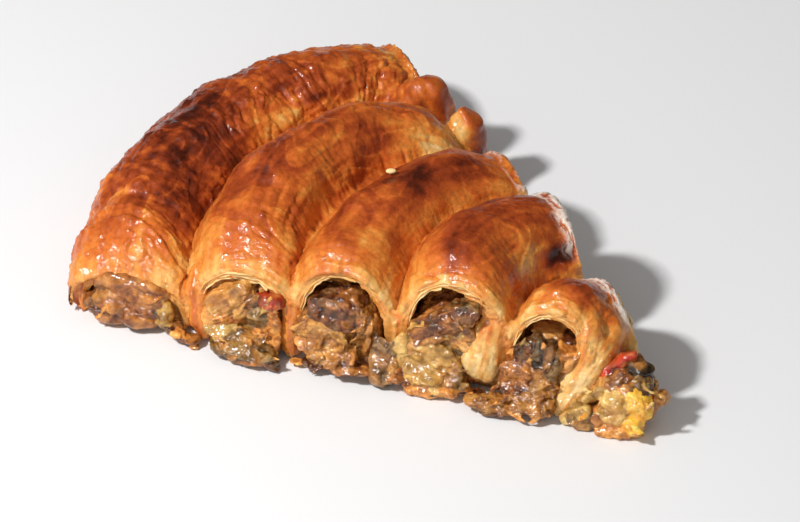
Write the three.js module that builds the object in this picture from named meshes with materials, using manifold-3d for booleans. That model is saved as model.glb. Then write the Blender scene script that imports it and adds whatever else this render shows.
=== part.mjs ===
// One wedge of a coiled borek: rolls of thin pastry baked side by side round a tray, each stuffed with
// a chunky aubergine, pepper and meat filling that shows where the knife cut the coil.
// Millimetres, +Z up. The front cut lies along X, with the outer roll at -X and the coil's centre at +X.
import * as THREE from 'three';
import { LoftGeometry } from 'three/addons/geometries/LoftGeometry.js';
import { mergeVertices } from 'three/addons/utils/BufferGeometryUtils.js';
import Module from 'manifold-3d';

const wasm = await Module();
wasm.setup();

const { clamp, degToRad, lerp, smoothstep } = THREE.MathUtils;

// Driving dimensions of the coil, measured from its centre
const TRAY_RADIUS = 200;
const SLICE_ANGLE = degToRad(45);
const ROLL_PITCH = 36.5;
const OUTER_HALF_WIDTH = 21;
const SPRING_SHARE = 0.42; // height of the widest place of a roll, as a share of its height
const FOOT_SQUARENESS = 0.4; // below that place the sides run down nearly upright, 1 would be round
const FOOT_REACH = 1.1; // a little more than 1 flattens the underside

// The pastry round the filling
const ROOF = 4.2;
const FLOOR = 2.4;
const GAP = 0.35; // air left between pastry and filling, so that they stay separate solids
const CORE_GAP = 0.9; // the same for the even core of a filling, which the pieces stand out of

// Each roll from the tray's wall inwards. Lists run from the front cut over the middle to the back cut.
// shift: how far the roll strays outwards from an even coil. lean: how far its inner foot draws outwards.
// walls: thickness on the outer and the inner side. droop: how far the crust bends down at each cut.
// pleat: depth of the cross folds. filled: top of the filling as a share of the tunnel.
const ROLLS = [
  {
    halfWidth: [20, 21, 19], height: [32, 39, 36], shift: [-7, 4, -3], lean: [0, 0, 0],
    walls: [6, 9], droop: [13, 5], pleat: 1.1, filled: 0.94,
  },
  {
    halfWidth: [19, 20, 19], height: [37, 46, 37], shift: [-9, 1, -5], lean: [0, 0, 0],
    walls: [3.8, 6], droop: [7, 13], pleat: 0.7, filled: 0.94,
  },
  {
    halfWidth: [18, 20, 19], height: [42, 44, 41], shift: [-5, 1, 0], lean: [0, 0, 0],
    walls: [4.6, 4.6], droop: [4, 5], pleat: 0.4, filled: 0.84,
  },
  {
    halfWidth: [20, 20, 20], height: [47, 49, 45], shift: [-6, 1, 2], lean: [0, 0, 0],
    walls: [4.6, 9], droop: [5, 5], pleat: 0.4, filled: 0.76,
  },
  {
    halfWidth: [18, 18, 19], height: [42, 43, 39], shift: [-4, -2, 0], lean: [15, 9, 4],
    walls: [4.2, 5.5], droop: [4, 5], pleat: 0.3, filled: 0.72,
  },
];

// The crust bends down to the knife over a short way, and the back cut misses the coil's centre a little
const DROOP_LENGTH = 7;
const KNIFE_MISS = 3.5;

// Unevenness of the crust, and the distance between two cross folds
const UNEVEN_DEPTH = 0.9;
const UNEVEN_LENGTH = 9;
const PLEAT_SPACING = 10;
const PLEAT_SWAY = 2; // how far a fold wanders along the roll as it runs down, in radians of the fold's wave
const RELIEF_FROM = 2; // the relief fades out between these heights, so that the foot stays even
const RELIEF_FULL = 14;

// The outer roll is folded over near its front end, and the second roll has a lip along its outer side
const FOLD_AT = 12;
const FOLD_WIDTH = 9;
const FOLD_GROOVE_AT = 25;
const FOLD_GROOVE_WIDTH = 5;
const FOLD_DEPTH = 1.6;
const LIP_DEPTH = 2.2;

// Lumps of dough that stand out of the rolls: two at the back end of the second roll, a lobe at the front
// between the two inner rolls, and the thick inner wall of the innermost roll, each of two lumps.
// x, y, z is the middle of a lump, long, deep and tall are its size along X, Y and Z, and tilt turns it up
// from +X, in degrees.
const DOUGH_LUMPS = [
  { x: -106, y: 108.5, z: 16.5, long: 16.5, deep: 18, tall: 38, tilt: 0 },
  { x: -91.5, y: 98.5, z: 16, long: 14.5, deep: 17, tall: 34, tilt: 0 },
  { x: -53, y: 0.5, z: 18.5, long: 11.5, deep: 8, tall: 27, tilt: -10 },
  { x: -54.5, y: -1, z: 12.5, long: 12.5, deep: 9, tall: 15, tilt: -10 },
  { x: -21.2, y: -1, z: 15.5, long: 9, deep: 8, tall: 34, tilt: -24 },
  { x: -24, y: -2.5, z: 8, long: 9.5, deep: 8, tall: 17, tilt: -24 },
];
const DOUGH_LUMPINESS = 0.05;

// One sesame seed stuck to the third roll
const SEED = { roll: 2, share: 0.55, around: degToRad(70), long: 3.4, deep: 2.2, tall: 1.5 };

// Pieces of filling that show at the front cut, roll by roll from the outside, and last those of the tip
const FRONT_PIECES = [
  [
    { x: -166, y: -1, z: 8, long: 17, deep: 13, tall: 16, tilt: 0 },
    { x: -176, y: 0, z: 6, long: 12, deep: 10, tall: 10, tilt: 0 },
    { x: -156, y: -2, z: 2, long: 12, deep: 8, tall: 6, tilt: 0 },
  ],
  [
    { x: -140, y: -1, z: 16, long: 25, deep: 10, tall: 9, tilt: 45 },
    { x: -138, y: -4, z: 9, long: 15, deep: 10, tall: 9, tilt: 10 },
    { x: -128, y: -2, z: 14, long: 11, deep: 10, tall: 14, tilt: 0 },
    { x: -126, y: 1, z: 20, long: 10, deep: 9, tall: 6, tilt: -15 },
    { x: -133, y: -6, z: 4, long: 22, deep: 11, tall: 10, tilt: 0 },
    { x: -123, y: -8, z: 2.5, long: 7, deep: 6, tall: 6, tilt: 0 },
  ],
  [
    { x: -100.5, y: 0, z: 20, long: 18, deep: 16, tall: 14, tilt: 0 },
    { x: -105, y: -1, z: 10, long: 21, deep: 11, tall: 16, tilt: 0 },
    { x: -102, y: -4, z: 7, long: 9, deep: 7, tall: 9, tilt: 0 },
    { x: -95.6, y: 0, z: 14, long: 6, deep: 9, tall: 15, tilt: 0 },
  ],
  [
    { x: -68, y: 1, z: 24, long: 28, deep: 15, tall: 10, tilt: 33 },
    { x: -69, y: -3, z: 9, long: 20, deep: 12, tall: 18, tilt: 0 },
    { x: -83.8, y: -6, z: 8.5, long: 12, deep: 10, tall: 17, tilt: 10 },
    { x: -78, y: -5, z: 8, long: 9, deep: 9, tall: 11, tilt: 0 },
    { x: -66, y: -5, z: 2, long: 18, deep: 8, tall: 6, tilt: 0 },
  ],
  [
    { x: -37, y: 0, z: 13, long: 16, deep: 13, tall: 20, tilt: 30 },
    { x: -33, y: 1, z: 20, long: 9, deep: 8, tall: 11, tilt: 0 },
    { x: -46, y: -9, z: 4, long: 22, deep: 12, tall: 8, tilt: 0 },
    { x: -36, y: -7, z: 5, long: 14, deep: 12, tall: 12, tilt: 0 },
  ],
];
const TIP_PIECES = [
  { x: -6, y: -1, z: 8, long: 24, deep: 18, tall: 18, tilt: 0 },
  { x: -10, y: 2, z: 18, long: 17, deep: 6, tall: 7, tilt: 42 },
  { x: -2, y: 3, z: 17, long: 11, deep: 10, tall: 9, tilt: 0 },
  { x: -6, y: -6, z: 8, long: 14, deep: 12, tall: 14, tilt: 0 },
  { x: 1.5, y: -7, z: 7, long: 7, deep: 7, tall: 15, tilt: 0 },
  { x: -19, y: -6, z: 5, long: 11, deep: 9, tall: 10, tilt: 20 },
  { x: -18, y: -10, z: 2, long: 14, deep: 7, tall: 6, tilt: 0 },
  { x: -7, y: -9, z: 2.5, long: 13, deep: 9, tall: 7, tilt: 0 },
  { x: 4, y: 2, z: 8, long: 9, deep: 9, tall: 9, tilt: 0 },
];

// The filling runs on past both cuts, and pieces of it stand out of the back cut as they fell
const SPILL = 3;
const BACK_PIECES = 3;
const BACK_PIECE_SIZES = [9, 15];
const BACK_PIECE_HEIGHTS = [6, 18];
const BACK_PIECE_TILT = 40;
const BACK_SEED = 101;
const PIECE_LUMPINESS = 0.16;

// Tools that only cut: how far a tunnel runs on past the cuts, and the thickness cut away under the table
const TUNNEL_OVERRUN = 4;
const TABLE_DEPTH = 60;

// Facets
const SKIN_SIDES = 24;
const SKIN_STEP = 4.6;
const TUNNEL_SIDES = 16;
const TUNNEL_STEP = 14;
const CORE_SIDES = 10;
const CORE_STEP = 16;
const LUMP_DETAIL = 1;
const WELD_DISTANCE = 1e-4;

// Reading a list of front, middle and back values at a share of the way round
function along([front, middle, back], share) {
  const toFront = front * (1 - share) * (1 - 2 * share);
  const toMiddle = middle * 4 * share * (1 - share);
  const toBack = back * share * (2 * share - 1);
  return toFront + toMiddle + toBack;
}

// Distance of the roll's middle line from the coil's centre
function coilRadius(roll, share) {
  const turns = ROLLS.indexOf(roll) + (share * SLICE_ANGLE) / (2 * Math.PI);
  return TRAY_RADIUS - OUTER_HALF_WIDTH - ROLL_PITCH * turns + along(roll.shift, share);
}

const arcLength = (roll) => coilRadius(roll, 0.5) * SLICE_ANGLE;

// Smooth unevenness between -1 and 1
function waver(a, b, seed) {
  const long = Math.sin(a * 0.6 + b * 1.1 + seed * 0.7);
  const middling = Math.sin(a * 1.7 + seed);
  const short = Math.sin(b * 2.3 - a * 0.8 + seed * 2.1);
  return (long + middling + short) / 3;
}

// A rounded hump of height 1 and the given half width
const hump = (x, middle, halfWidth) => Math.exp(-(((x - middle) / halfWidth) ** 2));

// Random numbers between 0 and 1 that come out the same each time
function seededRandom(seed) {
  let state = seed;
  return () => {
    state = (state * 16807) % 2147483647;
    return state / 2147483647;
  };
}

// Height of the roll's crown, lower where the crust bends down at a cut
function crownHeight(roll, share) {
  const arc = share * arcLength(roll);
  const [front, back] = roll.droop;
  const atFront = front * Math.exp(-arc / DROOP_LENGTH);
  const atBack = back * Math.exp((arc - arcLength(roll)) / DROOP_LENGTH);
  return along(roll.height, share) - atFront - atBack;
}

// A point of a closed arch with a flat foot at low and its crown at high. around runs in radians from the
// outer side over the top.
function archPoint(halfWidth, low, high, around) {
  const spring = lerp(low, high, SPRING_SHARE);
  const across = Math.cos(around);
  const up = Math.sin(around);
  if (up >= 0) return [halfWidth * across, spring + (high - spring) * up];
  const foot = (spring - low) * FOOT_REACH * Math.abs(up) ** FOOT_SQUARENESS;
  const out = halfWidth * Math.sign(across) * Math.abs(across) ** FOOT_SQUARENESS;
  return [out, Math.max(low, spring - foot)];
}

// Puts a section point into the wedge: out is measured from the roll's middle line, share round the slice
function place(roll, share, out, z) {
  const held = clamp(share, 0, 1);
  const innerSide = clamp(0.5 - out / (2 * along(roll.halfWidth, held)), 0, 1);
  const drawn = along(roll.lean, held) * innerSide * (1 - z / along(roll.height, held));
  const radius = coilRadius(roll, held) + out + drawn;
  const past = (share - held) * arcLength(roll); // beyond a cut the roll runs straight on
  const angle = held * SLICE_ANGLE;
  return new THREE.Vector3(
    -radius * Math.cos(angle) + past * Math.sin(angle),
    radius * Math.sin(angle) + past * Math.cos(angle),
    z,
  );
}

// How far the crust stands in or out at a place of the skin
function relief(roll, share, around) {
  const number = ROLLS.indexOf(roll);
  const seed = number * 3.1;
  const arc = share * arcLength(roll);
  const innerFlank = smoothstep(around, degToRad(60), degToRad(150));
  const sway = PLEAT_SWAY * Math.sin(around * 1.5 + seed);
  const pleats = roll.pleat * innerFlank * Math.sin((arc * 2 * Math.PI) / PLEAT_SPACING + sway);
  const uneven = UNEVEN_DEPTH * waver(arc / UNEVEN_LENGTH, around * 2, seed);
  let folds = 0;
  if (number === 0) {
    const groove = hump(arc, FOLD_GROOVE_AT, FOLD_GROOVE_WIDTH);
    folds = FOLD_DEPTH * (hump(arc, FOLD_AT, FOLD_WIDTH) - groove);
  }
  if (number === 1) {
    folds = -LIP_DEPTH * smoothstep(share, 0.35, 0.6) * (1 - smoothstep(around, degToRad(55), degToRad(72)));
  }
  return pleats + uneven + folds;
}

function skinPoint(roll, share, around, grow) {
  const held = clamp(share, 0, 1);
  const halfWidth = along(roll.halfWidth, held) + grow;
  const [out, z] = archPoint(halfWidth, -grow, crownHeight(roll, held) + grow, around);
  const raised = smoothstep(z, RELIEF_FROM, RELIEF_FULL) * relief(roll, held, around);
  return place(roll, share, out + raised * Math.cos(around), z + raised * Math.max(0, Math.sin(around)));
}

function skinSection(roll, share, grow) {
  const points = [];
  for (let side = 0; side < SKIN_SIDES; side++) {
    points.push(skinPoint(roll, share, (side / SKIN_SIDES) * 2 * Math.PI, grow));
  }
  return points;
}

// A section of the tunnel, or of what fills it up to a share of its height, smaller by the given clearance
function tunnelSection(roll, share, sides, clearance, filled) {
  const held = clamp(share, 0, 1);
  const [outer, inner] = roll.walls;
  const low = FLOOR + clearance;
  const high = lerp(low, crownHeight(roll, held) - ROOF - clearance, filled);
  const halfWidth = along(roll.halfWidth, held) - (outer + inner) / 2 - clearance;
  const points = [];
  for (let side = 0; side < sides; side++) {
    const [out, z] = archPoint(halfWidth, low, high, (side / sides) * 2 * Math.PI);
    points.push(place(roll, share, out + (inner - outer) / 2, z));
  }
  return points;
}

// A closed loft of sections along a roll, running past each cut by the given lengths
function rollLoft(roll, section, step, before, after) {
  const length = arcLength(roll);
  const steps = Math.max(4, Math.round(length / step));
  const sections = [];
  if (before > 0) sections.push(section(-before / length));
  for (let i = 0; i <= steps; i++) sections.push(section(i / steps));
  if (after > 0) sections.push(section(1 + after / length));
  return new LoftGeometry(sections, { capStart: true, capEnd: true });
}

// A closed three.js geometry as a solid that can be joined and cut
function solid(geometry) {
  const bare = new THREE.BufferGeometry();
  bare.setAttribute('position', geometry.getAttribute('position'));
  bare.setIndex(geometry.index);
  const merged = mergeVertices(bare, WELD_DISTANCE);
  return new wasm.Manifold(
    new wasm.Mesh({
      numProp: 3,
      vertProperties: merged.getAttribute('position').array,
      triVerts: new Uint32Array(merged.index.array),
    }),
  );
}

// A rounded uneven lump, larger by grow on every side
function lump({ x, y, z, long, deep, tall, tilt = 0 }, lumpiness, seed, grow = 0) {
  const geometry = new THREE.IcosahedronGeometry(1, LUMP_DETAIL);
  const points = geometry.getAttribute('position');
  const point = new THREE.Vector3();
  for (let i = 0; i < points.count; i++) {
    point.fromBufferAttribute(points, i);
    const bulge = 1 + lumpiness * waver(point.x * 3, point.y * 2 + point.z * 3, seed);
    points.setXYZ(i, point.x * bulge, point.y * bulge, point.z * bulge);
  }
  geometry.scale(long / 2 + grow, deep / 2 + grow, tall / 2 + grow);
  geometry.rotateY(-degToRad(tilt));
  geometry.translate(x, y, z);
  return solid(geometry);
}

// What lies below the table, to be cut away
function belowTable(grow) {
  const box = new THREE.BoxGeometry(3 * TRAY_RADIUS, 3 * TRAY_RADIUS, TABLE_DEPTH);
  box.translate(0, 0, -TABLE_DEPTH / 2 - grow);
  return solid(box);
}

// The pastry of all rolls, baked into one piece, with a tunnel through each roll
function pastrySolid(grow) {
  let pastry = null;
  for (const roll of ROLLS) {
    const section = (share) => skinSection(roll, share, grow);
    const skin = solid(rollLoft(roll, section, SKIN_STEP, grow, grow + KNIFE_MISS));
    pastry = pastry ? pastry.add(skin) : skin;
  }
  for (const dough of DOUGH_LUMPS) pastry = pastry.add(lump(dough, DOUGH_LUMPINESS, dough.x, grow));
  for (const roll of ROLLS) {
    const section = (share) => tunnelSection(roll, share, TUNNEL_SIDES, grow, 1);
    const tunnel = rollLoft(roll, section, TUNNEL_STEP, TUNNEL_OVERRUN, TUNNEL_OVERRUN + KNIFE_MISS);
    pastry = pastry.subtract(solid(tunnel));
  }
  return pastry.subtract(belowTable(grow));
}

function seedSolid() {
  const { x, y, z } = skinPoint(ROLLS[SEED.roll], SEED.share, SEED.around, 0);
  return lump({ ...SEED, x, y, z: z + SEED.tall / 4 }, 0, 0);
}

// Pieces standing out of the back cut of a roll
function backPieces(roll) {
  const random = seededRandom(BACK_SEED + ROLLS.indexOf(roll));
  const pieces = [];
  for (let i = 0; i < BACK_PIECES; i++) {
    const size = () => lerp(...BACK_PIECE_SIZES, random());
    const across = ((i + 0.5) / BACK_PIECES - 0.5) * roll.halfWidth[2];
    const height = lerp(...BACK_PIECE_HEIGHTS, random());
    const { x, y, z } = place(roll, 1 + KNIFE_MISS / arcLength(roll), across, height);
    pieces.push({ x, y, z, long: size(), deep: size(), tall: size(), tilt: BACK_PIECE_TILT * random() });
  }
  return pieces;
}

// Joins pieces to a core, keeps them off the pastry and the table, and drops loose scraps
function heapSolid(core, pieces, pastryAround) {
  let heap = core;
  pieces.forEach((piece, index) => {
    const one = lump(piece, PIECE_LUMPINESS, index + piece.x);
    heap = heap ? heap.add(one) : one;
  });
  const scraps = heap.subtract(pastryAround).subtract(belowTable(0)).decompose();
  return scraps.reduce((best, scrap) => (scrap.volume() > best.volume() ? scrap : best));
}

function fillingSolid(roll, pastryAround) {
  const section = (share) => tunnelSection(roll, share, CORE_SIDES, CORE_GAP, roll.filled);
  const core = solid(rollLoft(roll, section, CORE_STEP, SPILL, SPILL + KNIFE_MISS));
  const pieces = [...FRONT_PIECES[ROLLS.indexOf(roll)], ...backPieces(roll)];
  return heapSolid(core, pieces, pastryAround);
}

const crust = new THREE.MeshStandardMaterial({ color: 0xb9672a, roughness: 0.35, metalness: 0 });
const stuffing = new THREE.MeshStandardMaterial({ color: 0x8d6a42, roughness: 0.5, metalness: 0 });

const slice = new THREE.Group();

function addMesh(name, made, material) {
  const shape = made.getMesh();
  const geometry = new THREE.BufferGeometry();
  geometry.setAttribute('position', new THREE.BufferAttribute(new Float32Array(shape.vertProperties), 3));
  geometry.setIndex(new THREE.BufferAttribute(new Uint32Array(shape.triVerts), 1));
  geometry.computeVertexNormals();
  const mesh = new THREE.Mesh(geometry, material);
  mesh.name = name;
  slice.add(mesh);
}

const pastryAround = pastrySolid(GAP);
addMesh('pastry', pastrySolid(0).add(seedSolid()), crust);
ROLLS.forEach((roll, index) => addMesh(`filling_${index + 1}`, fillingSolid(roll, pastryAround), stuffing));
addMesh('filling_tip', heapSolid(null, TIP_PIECES, pastryAround), stuffing);

// The origin is under the middle of the wedge
const box = new THREE.Box3().setFromObject(slice);
slice.position.set(-(box.min.x + box.max.x) / 2, -(box.min.y + box.max.y) / 2, -box.min.z);

const borek = new THREE.Group();
borek.add(slice);

export default borek;
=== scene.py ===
import bpy
import math
import numpy as np
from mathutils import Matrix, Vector
from types import SimpleNamespace


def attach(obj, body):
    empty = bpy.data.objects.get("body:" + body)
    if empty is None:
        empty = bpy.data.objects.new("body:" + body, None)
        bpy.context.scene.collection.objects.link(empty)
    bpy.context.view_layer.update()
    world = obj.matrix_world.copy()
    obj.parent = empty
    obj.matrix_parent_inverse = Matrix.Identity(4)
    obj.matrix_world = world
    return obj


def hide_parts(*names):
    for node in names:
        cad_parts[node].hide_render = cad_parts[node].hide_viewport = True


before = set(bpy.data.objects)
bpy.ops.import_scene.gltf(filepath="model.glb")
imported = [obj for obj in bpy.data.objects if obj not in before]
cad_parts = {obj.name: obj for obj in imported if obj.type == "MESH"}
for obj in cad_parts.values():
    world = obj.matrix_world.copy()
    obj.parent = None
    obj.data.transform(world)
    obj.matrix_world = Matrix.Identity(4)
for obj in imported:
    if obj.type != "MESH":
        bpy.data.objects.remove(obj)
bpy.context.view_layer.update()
bpy.ops.object.select_all(action="DESELECT")

# shapes are worked out in millimetres round the coil's centre: x along the front cut, y into the slice, z up
mm = 0.001
coilCentre = np.array([94.28, -61.385, 0.0])  # the same centre in the part's frame

coil = {"tray": 200, "outerHalf": 21, "pitch": 36.5, "angle": math.radians(45), "spring": 0.42,
        "squareness": 0.4, "roof": 4.2, "floor": 2.4, "droopLength": 7, "knifeMiss": 3.5}

# each roll from the tray's wall inwards, with front, middle and back values as in the CAD part
rolls = [
    {"half": (20, 21, 19), "height": (32, 39, 36), "shift": (-7, 4, -3), "lean": (0, 0, 0),
     "walls": (6, 9), "droop": (13, 5), "filled": 0.94},
    {"half": (19, 20, 19), "height": (37, 46, 37), "shift": (-9, 1, -5), "lean": (0, 0, 0),
     "walls": (3.8, 6), "droop": (7, 13), "filled": 0.94},
    {"half": (18, 20, 19), "height": (42, 44, 41), "shift": (-5, 1, 0), "lean": (0, 0, 0),
     "walls": (4.6, 4.6), "droop": (4, 5), "filled": 0.84},
    {"half": (20, 20, 20), "height": (47, 49, 45), "shift": (-6, 1, 2), "lean": (0, 0, 0),
     "walls": (4.6, 9), "droop": (5, 5), "filled": 0.76},
    {"half": (18, 18, 19), "height": (42, 43, 39), "shift": (-4, -2, 0), "lean": (15, 9, 4),
     "walls": (4.2, 5.5), "droop": (4, 5), "filled": 0.72},
]


def along(values, share):
    front, middle, back = values
    value = front * (1 - share) * (1 - 2 * share) + middle * 4 * share * (1 - share)
    return value + back * share * (2 * share - 1)


def coilRadius(number, share):
    turned = number + share * coil["angle"] / (2 * math.pi)
    return coil["tray"] - coil["outerHalf"] - coil["pitch"] * turned + along(rolls[number]["shift"], share)


def arcLength(number):
    return coilRadius(number, 0.5) * coil["angle"]


def crownHeight(number, share):
    arc = share * arcLength(number)
    front, back = rolls[number]["droop"]
    atFront = front * np.exp(-arc / coil["droopLength"])
    atBack = back * np.exp((arc - arcLength(number)) / coil["droopLength"])
    return along(rolls[number]["height"], share) - atFront - atBack


def archPoint(half, low, high, around):
    spring = low + (high - low) * coil["spring"]
    across = np.cos(around)
    up = np.sin(around)
    footOut = half * np.sign(across) * np.abs(across) ** coil["squareness"]
    footUp = np.maximum(low, spring - (spring - low) * 1.1 * np.abs(up) ** coil["squareness"])
    return np.where(up >= 0, half * across, footOut), np.where(up >= 0, spring + (high - spring) * up, footUp)


def placePoint(number, share, out, z):
    roll = rolls[number]
    held = np.clip(share, 0, 1)
    innerSide = np.clip(0.5 - out / (2 * along(roll["half"], held)), 0, 1)
    drawn = along(roll["lean"], held) * innerSide * (1 - z / along(roll["height"], held))
    radius = coilRadius(number, held) + out + drawn
    past = (share - held) * arcLength(number)  # beyond a cut the roll runs straight on
    angle = held * coil["angle"]
    return np.stack([-radius * np.cos(angle) + past * np.sin(angle),
                     radius * np.sin(angle) + past * np.cos(angle), z], -1)


def skinPoint(number, share, around):
    held = np.clip(share, 0, 1)
    out, z = archPoint(along(rolls[number]["half"], held), 0.0, crownHeight(number, held), around)
    return placePoint(number, share, out, z)


def tunnelPoint(number, share, around, clearance=0.0, filled=1.0):
    held = np.clip(share, 0, 1)
    outer, inner = rolls[number]["walls"]
    low = coil["floor"] + clearance
    high = low + (crownHeight(number, held) - coil["roof"] - clearance - low) * filled
    half = along(rolls[number]["half"], held) - (outer + inner) / 2 - clearance
    out, z = archPoint(half, low, high, around)
    return placePoint(number, share, out + (inner - outer) / 2, z)


def rollCoords(points):
    # for each point its nearest roll, the way along it, the place around it in degrees, its ring, which is
    # 1 on the skin, and how much further the next roll is
    radius = np.hypot(points[:, 0], points[:, 1])
    angle = np.arctan2(points[:, 1], -points[:, 0])
    share = np.clip(angle / coil["angle"], 0, 1)
    arcs = []
    arounds = []
    rings = []
    for number, roll in enumerate(rolls):
        half = along(roll["half"], share)
        high = crownHeight(number, share)
        out = radius - coilRadius(number, share)
        innerSide = np.clip(0.5 - out / (2 * half), 0, 1)
        above = np.clip(1 - points[:, 2] / along(roll["height"], share), 0, 1)
        out = (out - along(roll["lean"], share) * innerSide * above) / half
        up = (points[:, 2] / high - coil["spring"]) / (1 - coil["spring"])
        rings.append(np.where(up > 0, np.hypot(out, up), np.abs(out)))
        around = np.degrees(np.arctan2(up, out))
        arounds.append(np.where(around < -90, around + 360, around))
        arcs.append(angle * coilRadius(number, share))
    index = np.argmin(rings, 0)
    every = np.arange(len(points))
    ranked = np.sort(rings, 0)
    return SimpleNamespace(points=points, index=index, ring=ranked[0], margin=ranked[1] - ranked[0],
                           arc=np.array(arcs)[index, every], around=np.array(arounds)[index, every])


# smooth unevenness from seeded lattices
def scramble(cells, seed):
    mixed = cells[:, 0] * 73856093 ^ cells[:, 1] * 19349663 ^ cells[:, 2] * 83492791 ^ (seed * 40503 + 977)
    mixed = (mixed ^ (mixed >> 13)) * 1274126177 & 0x7FFFFFFF
    mixed = (mixed ^ (mixed >> 15)) * 668265263 & 0x7FFFFFFF
    return mixed ^ (mixed >> 11)


def cloud(points, size, seed, octaves=1):
    total = np.zeros(len(points))
    gain = 1.0
    for octave in range(octaves):
        scaled = points / (np.asarray(size) / 2 ** octave)
        base = np.floor(scaled).astype(np.int64)
        part = scaled - base
        fade = part * part * part * (part * (part * 6 - 15) + 10)
        for corner in range(8):
            step = np.array([corner & 1, corner >> 1 & 1, corner >> 2 & 1])
            drawn = scramble(base + step, seed + 31 * octave)
            slope = np.stack([drawn & 1023, drawn >> 10 & 1023, drawn >> 20 & 1023], 1) / 511.5 - 1
            weight = np.prod(np.where(step, fade, 1 - fade), 1)
            total += gain * weight * np.sum(slope * (part - step), 1)
        gain *= 0.5
    return np.clip(total * 1.5, -1, 1)


def cells(points, size, seed):
    # distance to the nearest scattered middle in cell sizes, and a number between 0 and 1 for that cell
    scaled = points / np.asarray(size)
    base = np.floor(scaled).astype(np.int64)
    nearest = np.full(len(points), 9.0)
    home = base.copy()
    for dx in (-1, 0, 1):
        for dy in (-1, 0, 1):
            for dz in (-1, 0, 1):
                cell = base + np.array([dx, dy, dz])
                drawn = scramble(cell, seed)
                middle = cell + np.stack([drawn & 1023, drawn >> 10 & 1023, drawn >> 20 & 1023], 1) / 1023
                apart = np.sum((scaled - middle) ** 2, 1)
                closer = apart < nearest
                nearest[closer] = apart[closer]
                home[closer] = cell[closer]
    return np.sqrt(nearest), scramble(home, seed + 7) / 0x7FFFFFFF


def seededDraws(seed):
    state = seed
    while True:
        state = state * 16807 % 2147483647
        yield state / 2147483647


def ramp(low, high, value):
    share = np.clip((value - low) / (high - low), 0, 1)
    return share * share * (3 - 2 * share)  # low may be above high, which turns the ramp round


def between(low, lowFull, highFull, high, value):
    return ramp(low, lowFull, value) * (1 - ramp(highFull, high, value))


def hump(value, middle, halfWidth):
    return np.exp(-((value - middle) / halfWidth) ** 2)


def dome(apart, radius):
    return np.maximum(0, 1 - (apart / radius) ** 2)


def linear(colour):
    # colours are noted as they look on a screen, 0 to 255
    shares = np.asarray(colour, float) / 255
    return np.where(shares <= 0.04045, shares / 12.92, ((shares + 0.055) / 1.055) ** 2.4)


def shade(stops, value):
    # a colour between the stops of a list of (place, colour)
    places = [stop[0] for stop in stops]
    colours = np.array([linear(stop[1]) for stop in stops])
    return np.stack([np.interp(value, places, colours[:, channel]) for channel in range(3)], 1)


# reading and writing meshes
def readVertices(piece, value):
    flat = np.empty(len(piece.data.vertices) * 3, np.float32)
    piece.data.vertices.foreach_get(value, flat)
    return flat.reshape(-1, 3).astype(float)


def readPoints(piece):
    return readVertices(piece, "co") / mm - coilCentre


def readNormals(piece):
    return readVertices(piece, "normal")


def writePoints(piece, points):
    piece.data.vertices.foreach_set("co", ((points + coilCentre) * mm).astype(np.float32).ravel())
    piece.data.update()


def writeTone(piece, colours, grip=1.0):
    # the fourth value tells how strongly the fine grain of the material shows
    attribute = piece.data.attributes.new("tone", "FLOAT_COLOR", "POINT")
    full = np.concatenate([colours, np.broadcast_to(grip, len(colours))[:, None]], 1)
    attribute.data.foreach_set("color", full.astype(np.float32).ravel())


def pickOnly(pieces):
    bpy.ops.object.select_all(action="DESELECT")
    for piece in pieces:
        piece.select_set(True)
    bpy.context.view_layer.objects.active = pieces[0]


def applyModifier(piece, kind, **values):
    pickOnly([piece])
    bpy.ops.object.modifier_add(type=kind)
    modifier = piece.modifiers[-1]
    for name, value in values.items():
        setattr(modifier, name, value)
    bpy.ops.object.modifier_apply(modifier=modifier.name)


def joinAll(pieces, name):
    pickOnly(pieces)
    if len(pieces) > 1:
        bpy.ops.object.join()
    piece = bpy.context.object
    piece.name = name
    piece.data.name = name
    return piece


def fuse(piece, voxel, smoothing):
    applyModifier(piece, "REMESH", mode="VOXEL", voxel_size=voxel * mm)
    applyModifier(piece, "SMOOTH", factor=0.5, iterations=smoothing)


def soften(piece, weights, rounds):
    # smooths the weighted vertices, in four grades
    group = piece.vertex_groups.new(name="soft")
    for grade in (0.25, 0.5, 0.75, 1.0):
        chosen = np.nonzero(np.abs(weights - grade) <= 0.125)[0]
        group.add([int(vertex) for vertex in chosen], grade, "REPLACE")
    applyModifier(piece, "SMOOTH", factor=0.5, iterations=rounds, vertex_group="soft")
    piece.vertex_groups.clear()


def thinOut(piece, triangles):
    have = len(piece.data.polygons)
    if have > triangles:
        applyModifier(piece, "DECIMATE", ratio=triangles / have)


def thinPart(piece, chosen, share):
    # thins only the chosen vertices, down to a share of their triangles
    group = piece.vertex_groups.new(name="thin")
    group.add([int(vertex) for vertex in np.nonzero(chosen)[0]], 1.0, "REPLACE")
    corners = np.empty(len(piece.data.polygons) * 3, np.int32)
    piece.data.polygons.foreach_get("vertices", corners)
    part = chosen[corners.reshape(-1, 3)].all(1).mean()
    applyModifier(piece, "DECIMATE", ratio=1 - part * (1 - share), vertex_group="thin")
    piece.vertex_groups.clear()


def finishPiece(piece, material, nodes):
    pickOnly([piece])
    bpy.ops.object.shade_smooth()
    piece.data.materials.clear()
    piece.data.materials.append(material)
    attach(piece, "root")
    if nodes:
        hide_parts(*nodes)


def middleOf(spec):
    return np.array([spec["x"], spec["y"], spec["z"]])


def halfSize(spec):
    return np.array([spec["long"], spec["deep"], spec["tall"]]) / 2


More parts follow.
